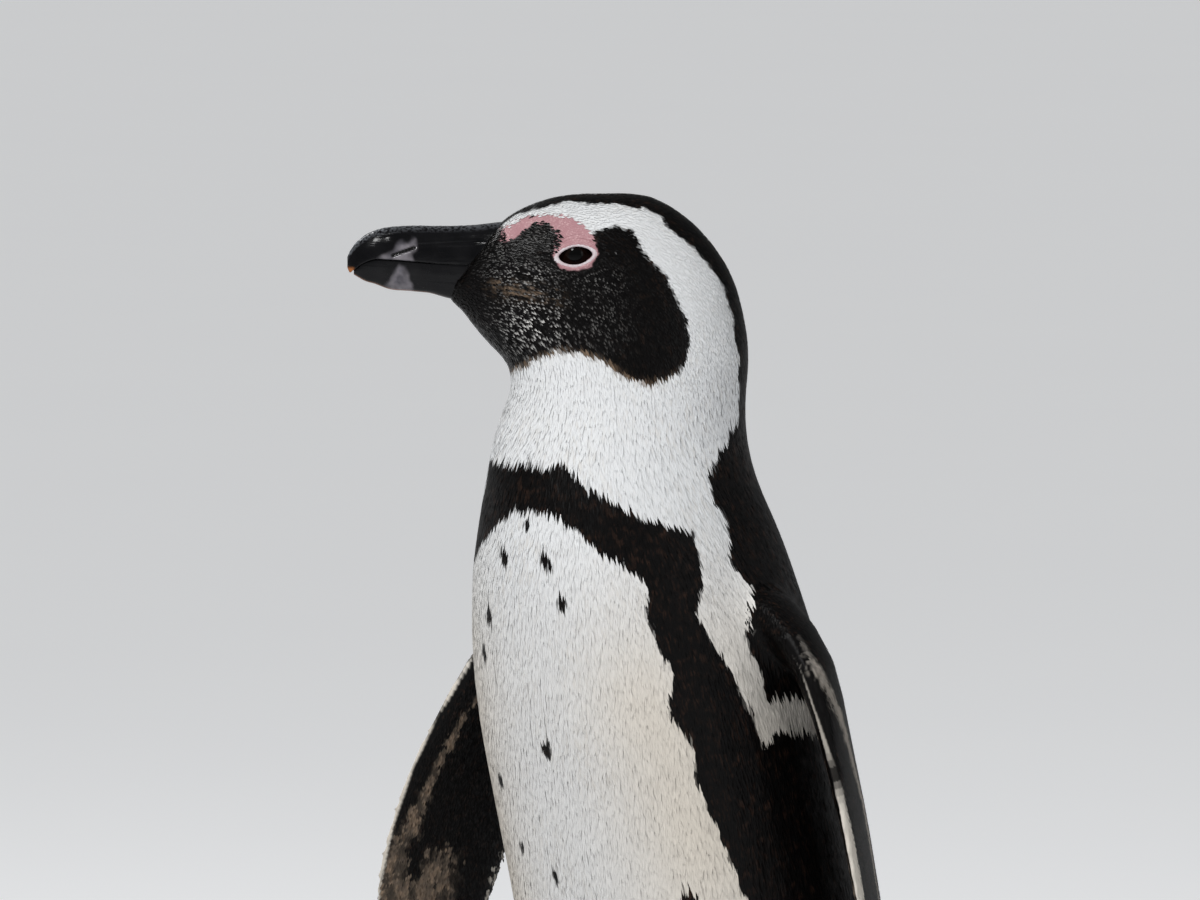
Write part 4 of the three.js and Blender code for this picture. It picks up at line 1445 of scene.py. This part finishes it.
def eyelid(side, sign):
    """A bare ring of skin round the eye opening."""
    count, around = 180, 16
    turn = np.linspace(0, 2 * math.pi, count, endpoint=False)
    a = LIDS["long"] * np.cos(turn)
    squeeze = 1.03 - 0.2 * np.cos(turn) ** 2
    h = LIDS["high"] * np.sin(turn) * squeeze - 0.1 * a
    middle = np.stack([a, h], 1)
    outward = middle / np.linalg.norm(middle * [1, 1.8], axis=1, keepdims=True) * [1, 1.8]
    outward = outward / np.linalg.norm(outward, axis=1, keepdims=True)
    thick = (0.6 + 0.05 * np.sin(turn * 23) - 0.12 * np.sin(turn) + 0.45 * np.cos(turn) ** 4) * MM
    middle = middle + outward * (thick - 0.3 * MM)[:, None]
    level = level_at(eye_fit[sign], *middle.T)
    points = []
    for k in range(around):
        roll = 2 * math.pi * k / around
        place = middle + outward * (thick * math.cos(roll))[:, None]
        out = level + thick * (0.75 * math.sin(roll) - 0.1)
        points.append(from_head(EYE["ahead"] + place[:, 0], sign * out, EYE["height"] + place[:, 1]))
    points = np.vstack(points)
    ob = new_object(f"eyelid_{side}", points, tube_faces(around + 1, count) % len(points))
    fix_normals(ob)
    set_corners(ob, points + normals_of(ob) * (0.07 * MM * noise(points, 0.7 * MM, 22))[:, None])
    ob.data.materials.append(lid_skin)
    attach(ob, "root")


def eye_look():
    """A wet eye: black pupil, dark brown iris and brownish rim."""
    look = Look("eye_wet")
    iris, streak, white, _ = look.channels("iris")
    brown = look.mix(streak, (0.008, 0.0035, 0.002), (0.0035, 0.0018, 0.0014))
    base = look.mix(iris, (0.002, 0.002, 0.002), brown)
    base = look.mix(white, base, look.mix(look.noise(700), (0.035, 0.015, 0.010), (0.012, 0.007, 0.006)))
    look.set(Base_Color=base, Roughness=0.03)
    look.set(Specular_IOR_Level=0.08)
    return look.material


def lid_look():
    """Pale bare skin, flushed in places."""
    look = Look("lid_skin")
    flush = look.range(look.noise(420, 3), 0.35, 0.7)
    look.set(Base_Color=look.mix(flush, (0.62, 0.58, 0.60), (0.52, 0.40, 0.42)), Roughness=0.5)
    look.bump(look.noise(2200, 2), 0.3, 0.0002)
    return look.material


eye_wet = eye_look()
lid_skin = lid_look()
for side, sign in SIDES.items():
    eyeball(side, sign)
    eyelid(side, sign)


# Claws

# In mm, with the degrees by which each toe is spread inwards.
TOES = {
    "inner": {"length": 54, "spread": 24, "radius": 5.6, "claw": 11},
    "middle": {"length": 68, "spread": -3, "radius": 6.2, "claw": 12.5},
    "outer": {"length": 59, "spread": -28, "radius": 5.6, "claw": 11},
}
HIND_SPREAD = 52
CLAW_SET_IN = 1.2


def toe_way(sign, degrees):
    """The way a toe points that is spread inwards by so many degrees."""
    spread = math.radians(degrees)
    return np.array([-sign * math.sin(spread), -math.cos(spread), 0])


def claw(name, root, ahead, length, radius):
    """A claw that leaves its toe level and bends down to a blunt point, keeled along the top."""
    count, around = 40, 28
    across = np.array([-ahead[1], ahead[0], 0])
    points = []
    for i in range(count):
        share = i / (count - 1)
        half = radius * (1 - 0.86 * share**1.3) * (1 + 0.03 * math.sin(share * 40))
        bend = share * 0.75
        up = ahead * math.sin(bend) + UP * math.cos(bend)
        centre = root + ahead * share * length - UP * 0.3 * length * share**2
        for k in range(around):
            angle = 2 * math.pi * k / around
            keel = 1 + 0.06 * max(math.sin(angle), 0) ** 6
            aside = across * half * 0.78 * math.cos(angle)
            points.append(centre + aside + up * half * 0.97 * keel * math.sin(angle))
    ends = [range(around), range((count - 1) * around, count * around)]
    faces = [*tube_faces(count, around), *ends]
    points = np.array(points) * MM + ZERO
    points[:, 2] = np.maximum(points[:, 2], 0.05 * MM)
    ob = new_object(f"{name}_horn", points, faces)
    fix_normals(ob)
    ob.data.materials.append(claw_horn)
    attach(ob, "root")
    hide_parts(name)


def claw_look():
    """Black horn with browner layers."""
    look = Look("claw_horn")
    layers = look.noise(160, 4, (1, 1, 3))
    base = look.mix(look.range(layers, 0.35, 0.75), (0.010, 0.009, 0.008), (0.060, 0.045, 0.036))
    look.set(Base_Color=base, Roughness=look.range(look.noise(500), 0.3, 0.7, 0.28, 0.45))
    look.bump(layers, 0.3, 0.0003)
    return look.material


claw_horn = claw_look()
for side, sign in SIDES.items():
    start = np.array([sign * FOOT_ASIDE, ANKLE_Y, 0.0])
    for toe, size in TOES.items():
        ahead = toe_way(sign, size["spread"])
        root = start + ahead * (size["length"] - CLAW_SET_IN) + UP * size["radius"] * 0.72
        claw(f"claw_{side}_{toe}", root, ahead, size["claw"] + 0.9, size["radius"] * 0.42)
    ahead = toe_way(sign, HIND_SPREAD)
    root = start + np.array([-sign * 7, 1, 6.5]) + ahead * 10 - UP * 2
    claw(f"claw_{side}_hind", root, ahead, 7.8, 1.7)


# Floor, light and camera

VIEW_TURN, VIEW_RISE = math.radians(44), math.radians(5)
SENSOR = 36  # the camera's, in mm
CAMERA_AWAY = 4.5
FRAME_WIDTH = 0.4743
FRAME_MIDDLE = (-0.0232, 0.4346)  # to the right and up, from the floor under the bird's middle
LEVEL = math.cos(VIEW_RISE)
BACK = Vector((math.sin(VIEW_TURN) * LEVEL, -math.cos(VIEW_TURN) * LEVEL, math.sin(VIEW_RISE)))
RIGHT = Vector((math.cos(VIEW_TURN), math.sin(VIEW_TURN), 0))


def floor():
    """A wide pale disc that lights up a little where the camera sees it."""
    count = 96
    turns = [2 * math.pi * k / count for k in range(count)]
    ring = [(30 * math.cos(turn), 30 * math.sin(turn), 0) for turn in turns]
    ob = new_object("floor", np.array(ring), [tuple(range(count))], smooth=False)
    look = Look("floor")
    look.set(Base_Color=look.mix(look.noise(3, 2), (0.76, 0.77, 0.79), (0.79, 0.80, 0.81)), Roughness=0.9)
    rays = look.add("ShaderNodeLightPath")
    seen = look.math("MAXIMUM", rays.outputs["Is Camera Ray"], rays.outputs["Is Glossy Ray"])
    seen = look.math("MAXIMUM", seen, rays.outputs["Is Transmission Ray"])
    glow = look.add("ShaderNodeEmission")
    look.link(look.times(seen, 0.36), glow.inputs["Strength"])
    both = look.add("ShaderNodeAddShader")
    look.link(look.shader.outputs[0], both.inputs[0])
    look.link(glow.outputs[0], both.inputs[1])
    look.link(both.outputs[0], look.tree.nodes["Material Output"].inputs["Surface"])
    ob.data.materials.append(look.material)


LAMPS_AIM = Vector((0, 0, 0.38))


def lamp(name, right, front, up, size, power):
    """A round lamp, so far to the right, in front and up as the camera sees it from where it aims."""
    toward = Vector((math.sin(VIEW_TURN), -math.cos(VIEW_TURN), 0))
    data = bpy.data.lights.new(name, "AREA")
    data.shape = "DISK"
    data.size = size
    data.energy = power
    ob = add_object(name, data)
    ob.location = LAMPS_AIM + RIGHT * right + toward * front + Vector((0, 0, up))
    ob.rotation_euler = (ob.location - LAMPS_AIM).to_track_quat("Z", "Y").to_euler()


def camera():
    """The photo's view."""
    data = bpy.data.cameras.new("camera")
    ob = add_object("camera", data)
    target = RIGHT * FRAME_MIDDLE[0] + BACK.cross(RIGHT) * FRAME_MIDDLE[1]
    ob.location = target + BACK * CAMERA_AWAY
    ob.rotation_euler = BACK.to_track_quat("Z", "Y").to_euler()
    data.sensor_width = SENSOR
    data.lens = SENSOR * CAMERA_AWAY / FRAME_WIDTH
    data.clip_end = 100
    bpy.context.scene.camera = ob


floor()
lamp("key", -0.9, 1.5, 1.5, 0.6, 34)
lamp("fill", 1.7, 1.3, 0.5, 1.4, 7)
lamp("rim", -1.0, -1.3, 1.3, 0.7, 10)
world = bpy.data.worlds.new("world")
bpy.context.scene.world = world
world.use_nodes = True
sky = world.node_tree.nodes["Background"].inputs
sky["Color"].default_value = (0.96, 0.98, 1.0, 1)
sky["Strength"].default_value = 0.3
camera()
bpy.context.scene.view_settings.view_transform = "Standard"
